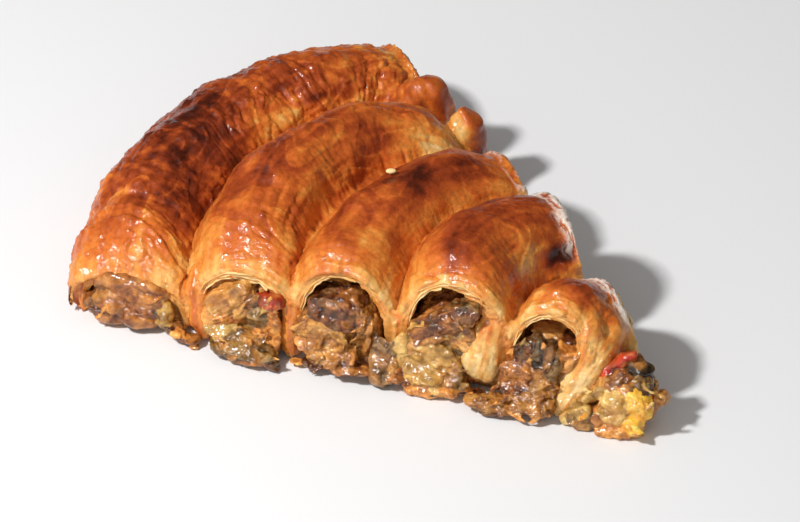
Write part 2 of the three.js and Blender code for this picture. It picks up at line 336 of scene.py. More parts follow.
def roundLump(spec, detail=4):
    # a rounded lump; square below 1 makes it boxy, tilt turns it up from +X, turn turns it about the
    # upright axis, lean moves its top back
    bpy.ops.mesh.primitive_ico_sphere_add(subdivisions=detail, radius=1)
    made = bpy.context.object
    ball = readVertices(made, "co")
    size = halfSize(spec)
    square = spec.get("square", 1.0)
    shaped = np.sign(ball) * np.abs(ball) ** square * size
    uneven = cloud(shaped + spec["x"] * 3.7, spec.get("grain", 7), 5, 2)  # each lump has its own
    shaped += ball * (uneven * spec.get("lumpy", 0.8))[:, None]
    shaped[:, 2] += spec.get("bend", 0) * (shaped[:, 0] / size[0]) ** 2
    placed = shaped @ lumpTurn(spec).T
    placed[:, 1] += spec.get("lean", 0) * placed[:, 2]
    writePoints(made, placed + middleOf(spec))
    return made


def lumpTurn(spec):
    tilt = math.radians(spec.get("tilt", 0))
    turn = math.radians(spec.get("turn", 0))
    tilted = np.array([[math.cos(tilt), 0, -math.sin(tilt)], [0, 1, 0], [math.sin(tilt), 0, math.cos(tilt)]])
    turned = np.array([[math.cos(turn), -math.sin(turn), 0], [math.sin(turn), math.cos(turn), 0], [0, 0, 1]])
    return turned @ tilted


# materials: a colour kept on the vertices, broken up by fine noise, under a glossy coat
sharedLook = {"speckDetail": 5, "speckRoughness": 0.65, "speckFrom": (0.3, 0.7), "glow": (1.0, 0.5, 0.25)}


def setInputs(node, values):
    for name, value in values.items():
        node.inputs[name].default_value = value


def foodMaterial(name, look):
    material = bpy.data.materials.new(name)
    material.use_nodes = True
    nodes = material.node_tree.nodes
    links = material.node_tree.links
    surface = nodes["Principled BSDF"]
    tone = nodes.new("ShaderNodeAttribute")
    tone.attribute_name = "tone"
    place = nodes.new("ShaderNodeTexCoord")
    specks = nodes.new("ShaderNodeTexNoise")
    setInputs(specks, {"Scale": look["speckScale"], "Detail": sharedLook["speckDetail"],
                       "Roughness": sharedLook["speckRoughness"]})
    links.new(place.outputs["Object"], specks.inputs["Vector"])
    spread = nodes.new("ShaderNodeMapRange")
    lowSpeck, highSpeck = sharedLook["speckFrom"]
    setInputs(spread, {"From Min": lowSpeck, "From Max": highSpeck,
                       "To Min": look["speckDark"], "To Max": look["speckLight"]})
    links.new(specks.outputs["Fac"], spread.inputs["Value"])
    strength = nodes.new("ShaderNodeMix")
    strength.data_type = "RGBA"
    strength.blend_type = "MULTIPLY"
    strength.inputs["Factor"].default_value = 1
    links.new(tone.outputs["Color"], strength.inputs["A"])
    links.new(spread.outputs["Result"], strength.inputs["B"])
    links.new(strength.outputs["Result"], surface.inputs["Base Color"])
    grain = nodes.new("ShaderNodeTexNoise")
    setInputs(grain, {"Scale": look["grainScale"], "Detail": look["grainDetail"]})
    links.new(place.outputs["Object"], grain.inputs["Vector"])
    bump = nodes.new("ShaderNodeBump")
    grip = nodes.new("ShaderNodeMath")
    grip.operation = "MULTIPLY"
    grip.inputs[1].default_value = look["bump"]
    links.new(tone.outputs["Alpha"], grip.inputs[0])
    links.new(grip.outputs["Value"], bump.inputs["Strength"])
    bump.inputs["Distance"].default_value = look["bumpDepth"] * mm
    links.new(grain.outputs["Fac"], bump.inputs["Height"])
    links.new(bump.outputs["Normal"], surface.inputs["Normal"])
    setInputs(surface, {"Roughness": look["roughness"], "Specular IOR Level": look["specular"],
                        "Coat Weight": look["coat"], "Coat Roughness": look["coatRoughness"],
                        "Subsurface Weight": look["subsurface"], "Subsurface Radius": sharedLook["glow"],
                        "Subsurface Scale": look["subsurfaceDepth"] * mm})
    links.new(bump.outputs["Normal"], surface.inputs["Coat Normal"])
    return material


crustMaterial = foodMaterial("bakedCrust", {
    "speckScale": 650, "speckDark": 0.74, "speckLight": 1.18, "grainScale": 700, "grainDetail": 4,
    "bump": 0.6, "bumpDepth": 0.4, "roughness": 0.5, "specular": 0.2, "coat": 0.5, "coatRoughness": 0.11,
    "subsurface": 0.0, "subsurfaceDepth": 1.0})
layerMaterial = foodMaterial("crustLayers", {
    "speckScale": 900, "speckDark": 0.85, "speckLight": 1.1, "grainScale": 1100, "grainDetail": 4,
    "bump": 0.3, "bumpDepth": 0.25, "roughness": 0.5, "specular": 0.3, "coat": 0.25, "coatRoughness": 0.15,
    "subsurface": 0.0, "subsurfaceDepth": 1.5})
stuffingMaterial = foodMaterial("moistStuffing", {
    "speckScale": 1100, "speckDark": 0.74, "speckLight": 1.2, "grainScale": 800, "grainDetail": 1.5,
    "bump": 0.5, "bumpDepth": 0.4, "roughness": 0.42, "specular": 0.15, "coat": 0.65, "coatRoughness": 0.1,
    "subsurface": 0.12, "subsurfaceDepth": 1.0})
print("materials made")

# the pastry: five rolls with tunnels and the lumps of dough, fused, then wrinkled and browned
pastrySettings = {"around": 120, "step": 1.6, "ring": 5, "tunnelStep": 4, "voxel": 0.5, "smoothing": 3,
                  "valley": 90, "valleyWidth": 0.3, "valleyHeights": (5, 12), "valleyRings": (0.85, 0.95),
                  "join": 80, "joinReach": (0.6, 1.7), "lumpy": 0.6, "lumpGrain": 9,
                  "hiddenBelow": 1.5, "hiddenRing": 0.82, "hiddenBehind": 6,
                  "hiddenShare": 0.12, "triangles": 194000}
# lumps of dough: look, middle, length, depth, height, tilt up from +X, lean to the back, boxiness
lumpFields = ("look", "x", "y", "z", "long", "deep", "tall", "tilt", "lean", "square")
doughLumps = [dict(zip(lumpFields, row)) for row in (
    ("knob", -106, 108.5, 16.5, 16.5, 18, 38, 0, 0, 1),  # folded end of the second roll
    ("knob", -91.5, 98.5, 16, 14.5, 17, 34, 0, 0, 1),
    ("knob", -111, 104, 24, 14, 14, 20, 0, 0, 1),
    ("pale", -53, 0.5, 18.5, 11.5, 8, 27, -10, 0.2, 1),  # lobe between the two inner rolls
    ("pale", -54.5, -1, 12.5, 12.5, 9, 15, -10, 0.1, 1),
    ("pale", -20.5, 0, 14, 12, 8, 30, -27, 0.2, 0.8),  # wall of the last roll
    ("pale", -25.2, -2.5, 7, 7.5, 8, 17, -27, 0.25, 1),
    ("pale", -19, 1, 25.5, 7.5, 7, 20, -6, 0.25, 1),
    ("crust", -16.5, 8, 18, 13, 20, 28, -14, 0.2, 1),  # swelling behind that wall
    ("web", -49, 8, 20, 13, 16, 22, -8, 0.3, 1),  # dough drawn out between the rolls
    ("web", -149.5, 1, 13, 8.5, 7, 26, 14, 0.25, 1),
    ("web", -118.7, 1, 13, 8, 7, 27, 3, 0.25, 1),
)]


def lumpsOf(look):
    return [lump for lump in doughLumps if lump["look"] == look]


knobs = lumpsOf("knob")
paleLumps = lumpsOf("pale")
webLumps = lumpsOf("web")
strandLumps = paleLumps + webLumps


def lumpPlace(points, lump):
    # places inside a lump along its own axes, 1 at its surface
    away = points - middleOf(lump)
    away[:, 1] -= lump.get("lean", 0) * away[:, 2]
    return away @ lumpTurn(lump) / halfSize(lump)


def lumpNearness(points, lumps, inner=1.0, outer=1.35):
    # 1 inside the nearest lump, falling to 0 a little outside it
    near = np.zeros(len(points))
    for lump in lumps:
        near = np.maximum(near, 1 - ramp(inner, outer, np.linalg.norm(lumpPlace(points, lump), axis=1)))
    return near


def lumpStreaks(points, lumps):
    # strands of dough run along each lump
    streaks = np.zeros(len(points))
    for lump in lumps:
        local = lumpPlace(points, lump)
        here = 1 - ramp(1.0, 1.5, np.linalg.norm(local, axis=1))
        spread = local * np.array([lump["long"] / 2.6, lump["deep"] / 5, lump["tall"] / 30]) + lump["x"]
        streaks += here * (1 - np.abs(streaks)) * cloud(spread, 1.0, 56, 2)
    return streaks


def rollShell(number):
    # a torus whose tube runs out along the skin, over the back cut and home through the tunnel
    length = arcLength(number)
    steps = int(length / pastrySettings["step"])
    tunnelSteps = int(length / pastrySettings["tunnelStep"])
    ring = pastrySettings["ring"]
    end = 1 + coil["knifeMiss"] / length
    across = np.arange(1, ring) / ring
    share = np.concatenate([np.linspace(0, end, steps), np.full(ring - 1, end),
                            np.linspace(end, 0, tunnelSteps), np.zeros(ring - 1)])
    depth = np.concatenate([np.zeros(steps), across, np.ones(tunnelSteps), 1 - across])
    bpy.ops.mesh.primitive_torus_add(major_segments=pastrySettings["around"], minor_segments=len(share))
    shell = bpy.context.object
    around = np.arange(pastrySettings["around"])[:, None] / pastrySettings["around"] * 2 * math.pi
    outside = skinPoint(number, share[None, :], around)
    inside = tunnelPoint(number, share[None, :], around)
    points = outside * (1 - depth)[None, :, None] + inside * depth[None, :, None]
    writePoints(shell, points.reshape(-1, 3))
    return shell


shells = [rollShell(number) for number in range(len(rolls))]
uneven = {"lumpy": pastrySettings["lumpy"], "grain": pastrySettings["lumpGrain"]}
shells += [roundLump({**lump, **uneven}) for lump in doughLumps]
pastry = joinAll(shells, "pastryBody")
fuse(pastry, pastrySettings["voxel"], pastrySettings["smoothing"])
spot = rollCoords(readPoints(pastry))
valley = hump(spot.margin, 0, pastrySettings["valleyWidth"])
valley = valley * ramp(*pastrySettings["valleyHeights"], spot.points[:, 2])
valley = valley * ramp(*pastrySettings["valleyRings"], spot.ring)
soften(pastry, valley, pastrySettings["valley"])
spot = rollCoords(readPoints(pastry))
near = lumpNearness(spot.points, doughLumps, *pastrySettings["joinReach"])
soften(pastry, np.clip(5 * near * (1 - near), 0, 1), pastrySettings["join"])
applyModifier(pastry, "TRIANGULATE")
inTunnel = (spot.ring < pastrySettings["hiddenRing"]) & (spot.points[:, 1] > pastrySettings["hiddenBehind"])
hidden = (spot.points[:, 2] < pastrySettings["hiddenBelow"]) | inTunnel
thinPart(pastry, hidden, pastrySettings["hiddenShare"])
print("pastry fused", len(pastry.data.vertices))

# how the crust of each roll is made: depth of its wrinkles, width of one along the roll, share of them on
# the crest, depth of sheet edges, blisters and streaks, how brown its crest is, its flanks as a share of
# that, and how far the stretched dough round its mouth reaches and how pale it is
crustSettings = [
    {"wrinkle": 0.75, "wide": 5.2, "flat": 0.3, "sheet": 0.4, "blister": 0.5, "streak": 0.25, "flank": 0.78,
     "brown": (0.52, 0.84, 0.43), "band": 1, "bandPale": 0},
    {"wrinkle": 0.4, "wide": 5.0, "flat": 0.3, "sheet": 0.35, "blister": 0.3, "streak": 0.5, "flank": 0.62,
     "brown": (0.6, 0.66, 0.52), "band": 3.5, "bandPale": 0.02},
    {"wrinkle": 0.12, "wide": 4.5, "flat": 0.2, "sheet": 0.2, "blister": 0.18, "streak": 0.5, "flank": 0.46,
     "brown": (0.66, 0.75, 0.64), "band": 5, "bandPale": 0.03},
    {"wrinkle": 0.12, "wide": 5.0, "flat": 0.2, "sheet": 0.25, "blister": 0.2, "streak": 0.5, "flank": 0.6,
     "brown": (0.66, 0.77, 0.7), "band": 5, "bandPale": 0.02},
    {"wrinkle": 0.12, "wide": 5.0, "flat": 0.2, "sheet": 0.25, "blister": 0.22, "streak": 0.4, "flank": 0.62,
     "brown": (0.62, 0.68, 0.62), "band": 8.5, "bandPale": 0.06},
]
# blisters and marks on the crust: middle, radius, height, height of a rim, and how much browner the place is;
# two of them, with less brown, paint light onto the inner flanks of the fourth and last rolls, which face
# away from the key lamp
markFields = ("x", "y", "z", "radius", "height", "rim", "brown")
crustMarks = [dict(zip(markFields, row)) for row in (
    (-172.2, 4.2, 26.4, 3.2, 0.3, 0.7, -0.1),
    (-127.4, 56.7, 45.9, 4, 0.4, 0.5, 0.08),
    (-133.6, 16.9, 41, 2, 0.9, 0, 0.15),
    (-122, 6.4, 30.4, 1.1, 0.2, 0, 0.5),
    (-113.1, 61.1, 38.7, 14, 0, 0, 0.06),
    (-166.8, 56.3, 37.9, 22, 0, 0, 0.16),
    (-159.1, 31.8, 29.4, 14, 0, 0, 0.2),
    (-163, 18, 27, 9, 0, 0, 0.18),
    (-161, 1.5, 19, 10, 0, 0, -0.22),
    (-148.7, 73, 31.8, 13, 0, 0, -0.34),
    (-141.3, 81.5, 29.4, 9, 0, 0, -0.2),
    (-37.6, 36, 33.2, 5.5, -1.2, 0, 0.6),
    (-39.6, 32.5, 32.6, 4, -0.8, 0, 0.6),
    # painted light: makes the inner flank of the fourth roll paler where it faces away from the key lamp and
    # lies in shade
    (-46, 23.6, 36.6, 8, 0, 0, -0.38),
    (-14.6, 9, 33.1, 5, 0.3, 0, 0.2),
    (-95.9, 78, 33, 11, 0, 0, -0.26),
    (-92, 45, 43.5, 13, 0, 0, 0.2),
    (-103, 9, 39, 9, 0, 0, 0.1),
    # painted light: makes the inner flank of the last roll paler where it faces away from the key lamp and
    # lies in shade
    (-16, 9, 32, 9, 0, 0, -0.3),
    (-60, 5, 43, 9, 0, 0, 0.12),
    (-86.5, 0, 20, 9, 0, 0, 0.32),
)]
# unevenness all over the crust: amount, size in millimetres, seed and octaves
crustPatches = {
    "sway": (4.5, 15, 3, 1), "smallSway": (1.5, 6, 4, 1), "wrinkled": (0.7, 24, 13, 1),
    "hills": (2.3, 24, 21, 1), "bumps": (1, 10, 22, 1), "streaked": (1, 16, 17, 1),
    "streakSway": (8, 14, 18, 1), "foldSway": (0.8, 7, 43, 1), "peelSway": (1.6, 6, 44, 2),
    "burntSway": (6, 4, 46, 2), "burnt": (0.5, 3, 47, 1), "torn": (1, (2.6, 3, 8), 48, 3),
    "knobHills": (0.8, 9, 50, 2), "layerSway": (0.4, 5, 53, 1), "bandSway": (2, 5, 57, 1),
    "strandSway": (0.8, 8, 58, 1), "browned": (1, 21, 61, 2), "smallBrowned": (0.12, 6, 62, 3),
    "cutFace": (0.12, 5, 64, 2), "tunnel": (0.12, 6, 65, 1), "markSway": (0.45, 5, 68, 2),
    "paleDough": (0.1, 6, 69, 2), "knobBrowned": (0.12, 8, 70, 2)}
# unevenness that follows the rolls: amount, size along a roll in millimetres and around it in degrees,
# the step from roll to roll, seed and octaves
rollPatches = {
    "creases": (1, 1, 55, 1.7, 11, 1), "fineCreases": (1, 1, 40, 1.9, 12, 1),
    "ripples": (0.7, 2.8, 24, 2.9, 14, 3), "valley": (0.4, 1.8, 80, 1.1, 15, 2),
    "streaks": (1, 30, 7, 3.7, 16, 2), "sheets": (4.5, 34, 75, 3.3, 31, 2),
    "peeled": (1, 1.8, 30, 2.3, 45, 2), "archStrands": (1, 1, 40, 1.3, 59, 2),
    "brownStreaks": (0.13, 26, 9, 5.1, 63, 3), "lightFolds": (1, 3.4, 22, 2.1, 66, 2)}


def patchy(points, name):
    amount, size, seed, octaves = crustPatches[name]
    return amount * cloud(points, size, seed, octaves)


def rollPatchy(name, spot, arc=None, around=None):
    # along and around the rolls as the spots lie, or by other values given for that
    amount, lengthwise, degrees, apart, seed, octaves = rollPatches[name]
    arc = spot.arc if arc is None else arc
    around = spot.around if around is None else around
    seat = np.stack([arc / lengthwise, around / degrees, spot.index * apart], 1)
    return amount * cloud(seat, 1.0, seed, octaves)


def perRoll(spot, name):
    return np.array([settings[name] for settings in crustSettings])[spot.index]


def rollLengths(spot):
    return np.array([arcLength(number) for number in range(len(rolls))])[spot.index]


def markDistance(points, mark):
    # from the middle of a mark, 1 at its radius
    return np.linalg.norm(points - middleOf(mark), axis=1) / mark["radius"]


# thin sheets of dough lie over each other in steps, longer along the roll than across it
sheetSettings = {"from": (4, 12), "step": (0.42, 0.58), "edge": (0.05, 0.06), "lot": 0.14, "edgeTone": 0.08}


def sheetLevels(spot):
    return rollPatchy("sheets", spot)


# dry white edges of the sheets along the back cut of the three inner rolls; their whiteness is partly the dry
# sheets' own colour and partly a painted sheen, the lamp's reflection along the drooping edges
peelSettings = {"firstRoll": 2, "reach": (2, 7), "around": (30, 60, 125, 150), "lines": (0.3, 0.1),
                "rim": (0.5, 1.4), "depth": 0.5, "paleEdgeAndSheen": 0.95, "tone": (240, 226, 212)}


def peeledEdgeAndSheen(spot):
    inward = rollLengths(spot) + coil["knifeMiss"] - spot.arc + patchy(spot.points, "peelSway")
    lines = np.abs(rollPatchy("peeled", spot, inward))
    edge = (1 - ramp(*peelSettings["reach"], inward)) * between(*peelSettings["around"], spot.around)
    shown = np.maximum(ramp(*peelSettings["lines"], lines), 1 - ramp(*peelSettings["rim"], inward))
    return (spot.index >= peelSettings["firstRoll"]) * edge * shown


# edges of the sheets on the cut faces, that come and go along the arch
faceSettings = {"lines": 14, "span": 34, "rollStep": 4.1, "backStep": 2.7, "ringStep": 2, "sway": 1.1,
                "shown": 0.55, "gaps": 1.2, "gapSize": 1.9, "foot": (-10, 25), "innerFoot": (155, 190),
                "rings": (0.66, 0.74), "depth": 0.5, "tone": 0.15}


def faceLayers(spot):
    # from -1 to 1
    face = spot.index * faceSettings["rollStep"] + (spot.arc > 20) * faceSettings["backStep"]
    seat = np.stack([spot.around / faceSettings["span"], face, spot.ring * faceSettings["ringStep"]], 1)
    swayed = faceSettings["sway"] * cloud(seat, 1.0, 52, 2) + patchy(spot.points, "layerSway")
    lines = np.sin(2 * math.pi * (faceSettings["lines"] * spot.ring + swayed))
    gaps = faceSettings["gaps"] * cloud(seat * faceSettings["gapSize"], 1.0, 54)
    shown = np.clip(faceSettings["shown"] + gaps, 0, 1)
    arch = np.where(spot.index == 0, 1, ramp(*faceSettings["foot"], spot.around))
    arch = arch * (1 - ramp(*faceSettings["innerFoot"], spot.around))
    return lines * shown * arch * ramp(*faceSettings["rings"], spot.ring)


# a band of stretched dough round the mouths of the rolls
bandSettings = {"edge": (0.35, 1), "around": (30, 60), "strand": 1.3, "depth": 0.5, "tone": 0.14}


def archBand(spot):
    reached = (spot.arc + patchy(spot.points, "bandSway")) / perRoll(spot, "band")
    band = (spot.index > 0) * (1 - ramp(*bandSettings["edge"], reached))
    band = band * ramp(*bandSettings["around"], spot.around)
    swayed = spot.arc / bandSettings["strand"] + patchy(spot.points, "strandSway")
    return band, band * rollPatchy("archStrands", spot, swayed)


# the end of the outer roll is folded over in two sheets, and the second roll has a lip towards its back
foldSettings = {"reach": 13.5, "slant": 8.5, "slantAround": (85, 150), "edge": (-0.7, 0.7), "upper": 1.3,
                "lower": 0.8, "lowerPast": 5.5, "level": 1.2, "groove": 1.2, "grooveAt": (12, 5),
                "golden": (-1, 5), "tone": 0.66, "contrast": 0.6, "lip": -2.2, "lipStart": (0.35, 0.6),
                "lipAround": (55, 72)}


def foldEdge(spot):
    # how far from the front cut the folded end reaches
    slant = foldSettings["slant"] * ramp(*foldSettings["slantAround"], spot.around)
    return foldSettings["reach"] - slant + patchy(spot.points, "foldSway")


def foldRelief(spot):
    past = spot.arc - foldEdge(spot)
    folds = foldSettings["upper"] * (1 - ramp(*foldSettings["edge"], past))
    folds += foldSettings["lower"] * (1 - ramp(*foldSettings["edge"], past - foldSettings["lowerPast"]))
    folds = folds - foldSettings["level"] - foldSettings["groove"] * hump(past, *foldSettings["grooveAt"])
    lip = foldSettings["lip"] * ramp(*foldSettings["lipStart"], spot.arc / arcLength(1))
    lip = lip * (1 - ramp(*foldSettings["lipAround"], spot.around))
    return np.where(spot.index == 0, folds, np.where(spot.index == 1, lip, 0))


# the outer foot of the first roll is torn and burnt
footSettings = {"across": (-181, -186), "into": (18, 8), "depth": 1.1, "level": 0.3, "toneHeights": (16, 8),
                "tone": 0.35, "burntAcross": (-188, -192), "burntHeights": (11, 4), "burntInto": (20, 6),
                "burnt": 0.75}


def tornFoot(spot):
    across = ramp(*footSettings["across"], spot.points[:, 0])
    return (spot.index == 0) * across * ramp(*footSettings["into"], spot.points[:, 1])


def burntFoot(spot):
    x, y, z = spot.points.T
    low = ramp(*footSettings["burntHeights"], z + patchy(spot.points, "burntSway"))
    here = ramp(*footSettings["burntAcross"], x) * low * ramp(*footSettings["burntInto"], y)
    return here * (footSettings["burnt"] + patchy(spot.points, "burnt"))


def knobStreaks(points):
    # the dough of the folded end is drawn out from the upper left to the lower right
    x, y, z = points.T
    return cloud(np.stack([(x + z) / 3.2, y / 7, (x - z) / 16], 1), 1.0, 55, 2)


# wrinkles lie across a roll, mostly on its inner flank
wrinkleSettings = {"skew": 0.06, "sharpness": 2.6, "top": 0.75, "fineWide": 2.3, "fineDepth": 0.45,
                   "share": 0.8, "flank": (70, 115, 190, 215), "streaked": (-0.2, 0.3)}


def pillow(values):
    # rounded pillows with creases between them
    crease = 1 - np.minimum(1, np.abs(values) * wrinkleSettings["sharpness"])
    return 1 - crease ** 2 - wrinkleSettings["top"]


def wrinkleRelief(spot):
    bent = spot.arc + wrinkleSettings["skew"] * (spot.around - 90)
    bent = (bent + patchy(spot.points, "sway") + patchy(spot.points, "smallSway")) / perRoll(spot, "wide")
    creases = rollPatchy("creases", spot, bent)
    finer = rollPatchy("fineCreases", spot, bent * wrinkleSettings["fineWide"])
    wrinkles = perRoll(spot, "wrinkle") * (pillow(creases) + wrinkleSettings["fineDepth"] * pillow(finer))
    onCrest = perRoll(spot, "flat")
    share = onCrest + (1 - onCrest) * between(*wrinkleSettings["flank"], spot.around)
    return wrinkles * share * (wrinkleSettings["share"] + patchy(spot.points, "wrinkled"))


def streakRelief(spot):
    swayed = spot.around + patchy(spot.points, "streakSway")
    streaks = perRoll(spot, "streak") * rollPatchy("streaks", spot, around=swayed)
    return streaks * ramp(*wrinkleSettings["streaked"], patchy(spot.points, "streaked"))


def sheetRelief(spot):
    level = sheetLevels(spot)
    stepped = np.floor(level) + ramp(*sheetSettings["step"], level - np.floor(level)) - level
    return perRoll(spot, "sheet") * stepped * ramp(*sheetSettings["from"], spot.arc)  # none at the front cut


blisterSettings = {"size": 4.2, "share": 0.45, "radius": 0.55, "smallSize": 2.1, "smallShare": 0.5,
                   "smallRadius": 0.5, "smallDepth": 0.6, "frontDepth": 0.2, "doughDepth": 0.3}


def smallBlisters(points):
    apart, lot = cells(points, blisterSettings["smallSize"], 42)
    return (lot > blisterSettings["smallShare"]) * dome(apart, blisterSettings["smallRadius"])


def blisterRelief(spot, nearFront, small):
    apart, lot = cells(spot.points, blisterSettings["size"], 41)
    depth = perRoll(spot, "blister")
    large = depth * (lot > blisterSettings["share"]) * dome(apart, blisterSettings["radius"])
    return large + (blisterSettings["smallDepth"] * depth + blisterSettings["frontDepth"] * nearFront) * small


# the cut faces and the lumps are soft dough; under the filling the front of the crust draws back
doughSettings = {"depth": 0.4, "lumpDepth": 0.5, "size": 4, "lumpSize": 3, "knobStreaks": 0.6,
                 "strands": 0.3, "frontDeep": (0, 5), "frontRings": (0.7, 0.85), "kept": 0.75, "drawn": 4.5,
                 "drawnHeights": (3, 14)}


def doughRelief(spot, skin, lumps, small):
    bare = 1 - skin
    sizes = doughSettings["size"] + doughSettings["lumpSize"] * lumps[:, None]
    depth = doughSettings["depth"] + doughSettings["lumpDepth"] * lumps
    relief = bare * depth * cloud(spot.points, sizes, 51, 2)
    drawnOut = doughSettings["knobStreaks"] * knobStreaks(spot.points) + patchy(spot.points, "knobHills")
    relief += lumpNearness(spot.points, knobs) * drawnOut
    relief += doughSettings["strands"] * lumpStreaks(spot.points, strandLumps)
    relief += blisterSettings["doughDepth"] * lumpNearness(spot.points, strandLumps) * small
    ragged = footSettings["depth"] * patchy(spot.points, "torn") - footSettings["level"]
    relief += bare * tornFoot(spot) * ragged
    return relief + faceSettings["depth"] * bare * (1 - lumps) * faceLayers(spot)


# where the relief of the skin begins, and how far ripples at the front, valleys and marks reach
skinSettings = {"rings": (0.9, 0.97), "heights": (2, 9), "front": 10, "valley": 0.35, "mark": 0.7,
                "rim": 0.25}


def shapeCrust(piece):
    normals = readNormals(piece)
    spot = rollCoords(readPoints(piece))
    points = spot.points
    lumps = lumpNearness(points, doughLumps)
    skin = ramp(*skinSettings["rings"], spot.ring) * ramp(*skinSettings["heights"], points[:, 2])
    skin = skin * (1 - lumps)
    small = smallBlisters(points)
    nearFront = np.exp(-np.maximum(spot.arc, 0) / skinSettings["front"])
    relief = wrinkleRelief(spot) + patchy(points, "hills") + patchy(points, "bumps") + streakRelief(spot)
    relief += sheetRelief(spot) + blisterRelief(spot, nearFront, small) + foldRelief(spot)
    relief += nearFront * rollPatchy("ripples", spot)
    relief += hump(spot.margin, 0, skinSettings["valley"]) * rollPatchy("valley", spot)
    relief += bandSettings["depth"] * archBand(spot)[1] + peelSettings["depth"] * peeledEdgeAndSheen(spot)
    relief = skin * relief + doughRelief(spot, skin, lumps, small)
    for mark in crustMarks:
        away = markDistance(points, mark)
        swelling = mark["height"] * hump(away, 0, skinSettings["mark"])
        relief += swelling + mark["rim"] * hump(away, 1, skinSettings["rim"])
    moved = points + normals * relief[:, None]
    frontFace = (1 - ramp(*doughSettings["frontDeep"], points[:, 1])) * (1 - lumps)
    frontFace *= 1 - doughSettings["kept"] * ramp(*doughSettings["frontRings"], spot.ring)
    low = 1 - ramp(*doughSettings["drawnHeights"], points[:, 2])
    moved[:, 1] += frontFace * doughSettings["drawn"] * low
    moved[:, 2] = np.maximum(moved[:, 2], 0)
    writePoints(piece, moved)


# colours from raw dough to burnt crust, by a brownness from 0 to 1
crustTones = [(0.0, (240, 205, 142)), (0.16, (233, 180, 100)), (0.34, (221, 138, 56)), (0.52, (201, 100, 34)),
              (0.7, (160, 66, 22)), (0.86, (112, 40, 13)), (1.0, (70, 24, 10))]
brownSettings = {
    "crest": (85, 55), "frontLength": 9, "backLength": 5, "back": 0.3, "cut": 0.28, "outer": 0.09,
    "inner": 0.16, "lightFold": 0.15, "foldLines": (0.1, 0.5), "mark": 0.75, "face": 0.28, "closedBack": 0.3,
    "tornFace": 0.14, "tornAcross": (-172, -182), "rings": (0.88, 0.96), "tunnelRing": 0.84, "tunnel": 0.3,
    "footHeight": 3, "foot": 0.25, "pale": 0.08, "paleTop": 0.24, "paleHeights": (11, 27),
    "paleStrands": 0.24, "web": 0.4, "webStrands": 0.16, "smoothed": 0.1}


def bakedBrown(spot):
    # the skin is dark on the crests and lighter on the flanks and near the cuts
    points = spot.points
    length = rollLengths(spot)
    flank = perRoll(spot, "flank")
    nearCut = np.exp(-np.maximum(spot.arc, 0) / brownSettings["frontLength"])
    nearBack = np.exp((spot.arc - length) / brownSettings["backLength"])
    nearCut += brownSettings["back"] * (spot.index > 0) * nearBack
    share = np.clip(spot.arc / length, 0, 1)
    brown = np.choose(spot.index, [along(settings["brown"], share) for settings in crustSettings])
    brown = brown * (flank + (1 - flank) * hump(spot.around, *brownSettings["crest"]))
    brown -= brownSettings["cut"] * np.clip(nearCut, 0, 1)
    patches = np.where(spot.index == 0, brownSettings["outer"], brownSettings["inner"])
    brown += patches * patchy(points, "browned") + patchy(points, "smallBrowned")
    folded = rollPatchy("lightFolds", spot)
    folded = (spot.index == 0) * ramp(*brownSettings["foldLines"], folded)  # on the dark outer roll
    brown -= brownSettings["lightFold"] * folded
    level = sheetLevels(spot)
    step = np.floor(level - 0.5)
    lot = scramble(np.stack([step, spot.index, step * 3 + spot.index], 1).astype(np.int64), 67) / 0x7FFFFFFF
    edges = hump(level - np.round(level - 0.5) - 0.5, *sheetSettings["edge"])
    sheets = sheetSettings["lot"] * (lot - 0.5) - sheetSettings["edgeTone"] * edges
    brown += ramp(*sheetSettings["from"], spot.arc) * sheets
    brown += rollPatchy("brownStreaks", spot)
    swayed = patchy(points, "markSway")
    # two marks are painted light on flanks in shade, the rest are the crust's own browning
    for mark in crustMarks:
        brown += mark["brown"] * hump(markDistance(points, mark) + swayed, 0, brownSettings["mark"])
    golden = (spot.index == 0) * (1 - ramp(*foldSettings["golden"], spot.arc - foldEdge(spot)))
    tone = foldSettings["tone"]  # of the folded end
    brown += golden * (tone + foldSettings["contrast"] * (brown - tone) - brown)
    band, strands = archBand(spot)
    return brown - (perRoll(spot, "bandPale") * band + bandSettings["tone"] * strands)


def faceBrown(spot):
    # the cut faces are pale, but the two outer rolls are closed at the back and the torn foot is darker
    pale = brownSettings["face"] + patchy(spot.points, "cutFace") - faceSettings["tone"] * faceLayers(spot)
    pale += brownSettings["closedBack"] * ((spot.index < 2) & (spot.arc > 40))
    torn = (spot.index == 0) * ramp(*brownSettings["tornAcross"], spot.points[:, 0])
    return pale + brownSettings["tornFace"] * torn


# each knob is painted lighter on its left, the side towards the key lamp, and browner on its right, away from
# it: painted light and shade over each knob's own tone; the lower one is also lighter further down
knobSettings = {"between": (-101, -97), "facing": (0.95, 0.3), "half": 8, "upper": 0.6, "upperShadedSide": 0.22,
                "upperFrom": (0.1, 0.8), "lower": 0.22, "lowerShadedSide": 0.48, "lowerFrom": (-0.1, 0.6),
                "top": 0.35, "topHeights": (27, 33), "streaks": 0.2}


def knobBrown(points):
    x, y, z = points.T
    upper, lower = knobs[:2]
    share = ramp(*knobSettings["between"], x)
    offX = x - upper["x"] - (lower["x"] - upper["x"]) * share
    offY = y - upper["y"] - (lower["y"] - upper["y"]) * share
    facingX, facingY = knobSettings["facing"]
    # painted light and shade: the side towards the key lamp is paler, the far side browner
    shadedSide = (facingX * offX + facingY * offY) / knobSettings["half"]
    top = knobSettings["top"] * ramp(*knobSettings["topHeights"], z)
    upperShare = ramp(*knobSettings["upperFrom"], shadedSide)
    lowerShare = ramp(*knobSettings["lowerFrom"], shadedSide + top)
    upperTone = knobSettings["upper"] + knobSettings["upperShadedSide"] * upperShare
    lowerTone = knobSettings["lower"] + knobSettings["lowerShadedSide"] * lowerShare
    tone = upperTone + (lowerTone - upperTone) * share
    return tone + knobSettings["streaks"] * knobStreaks(points) + patchy(points, "knobBrowned")


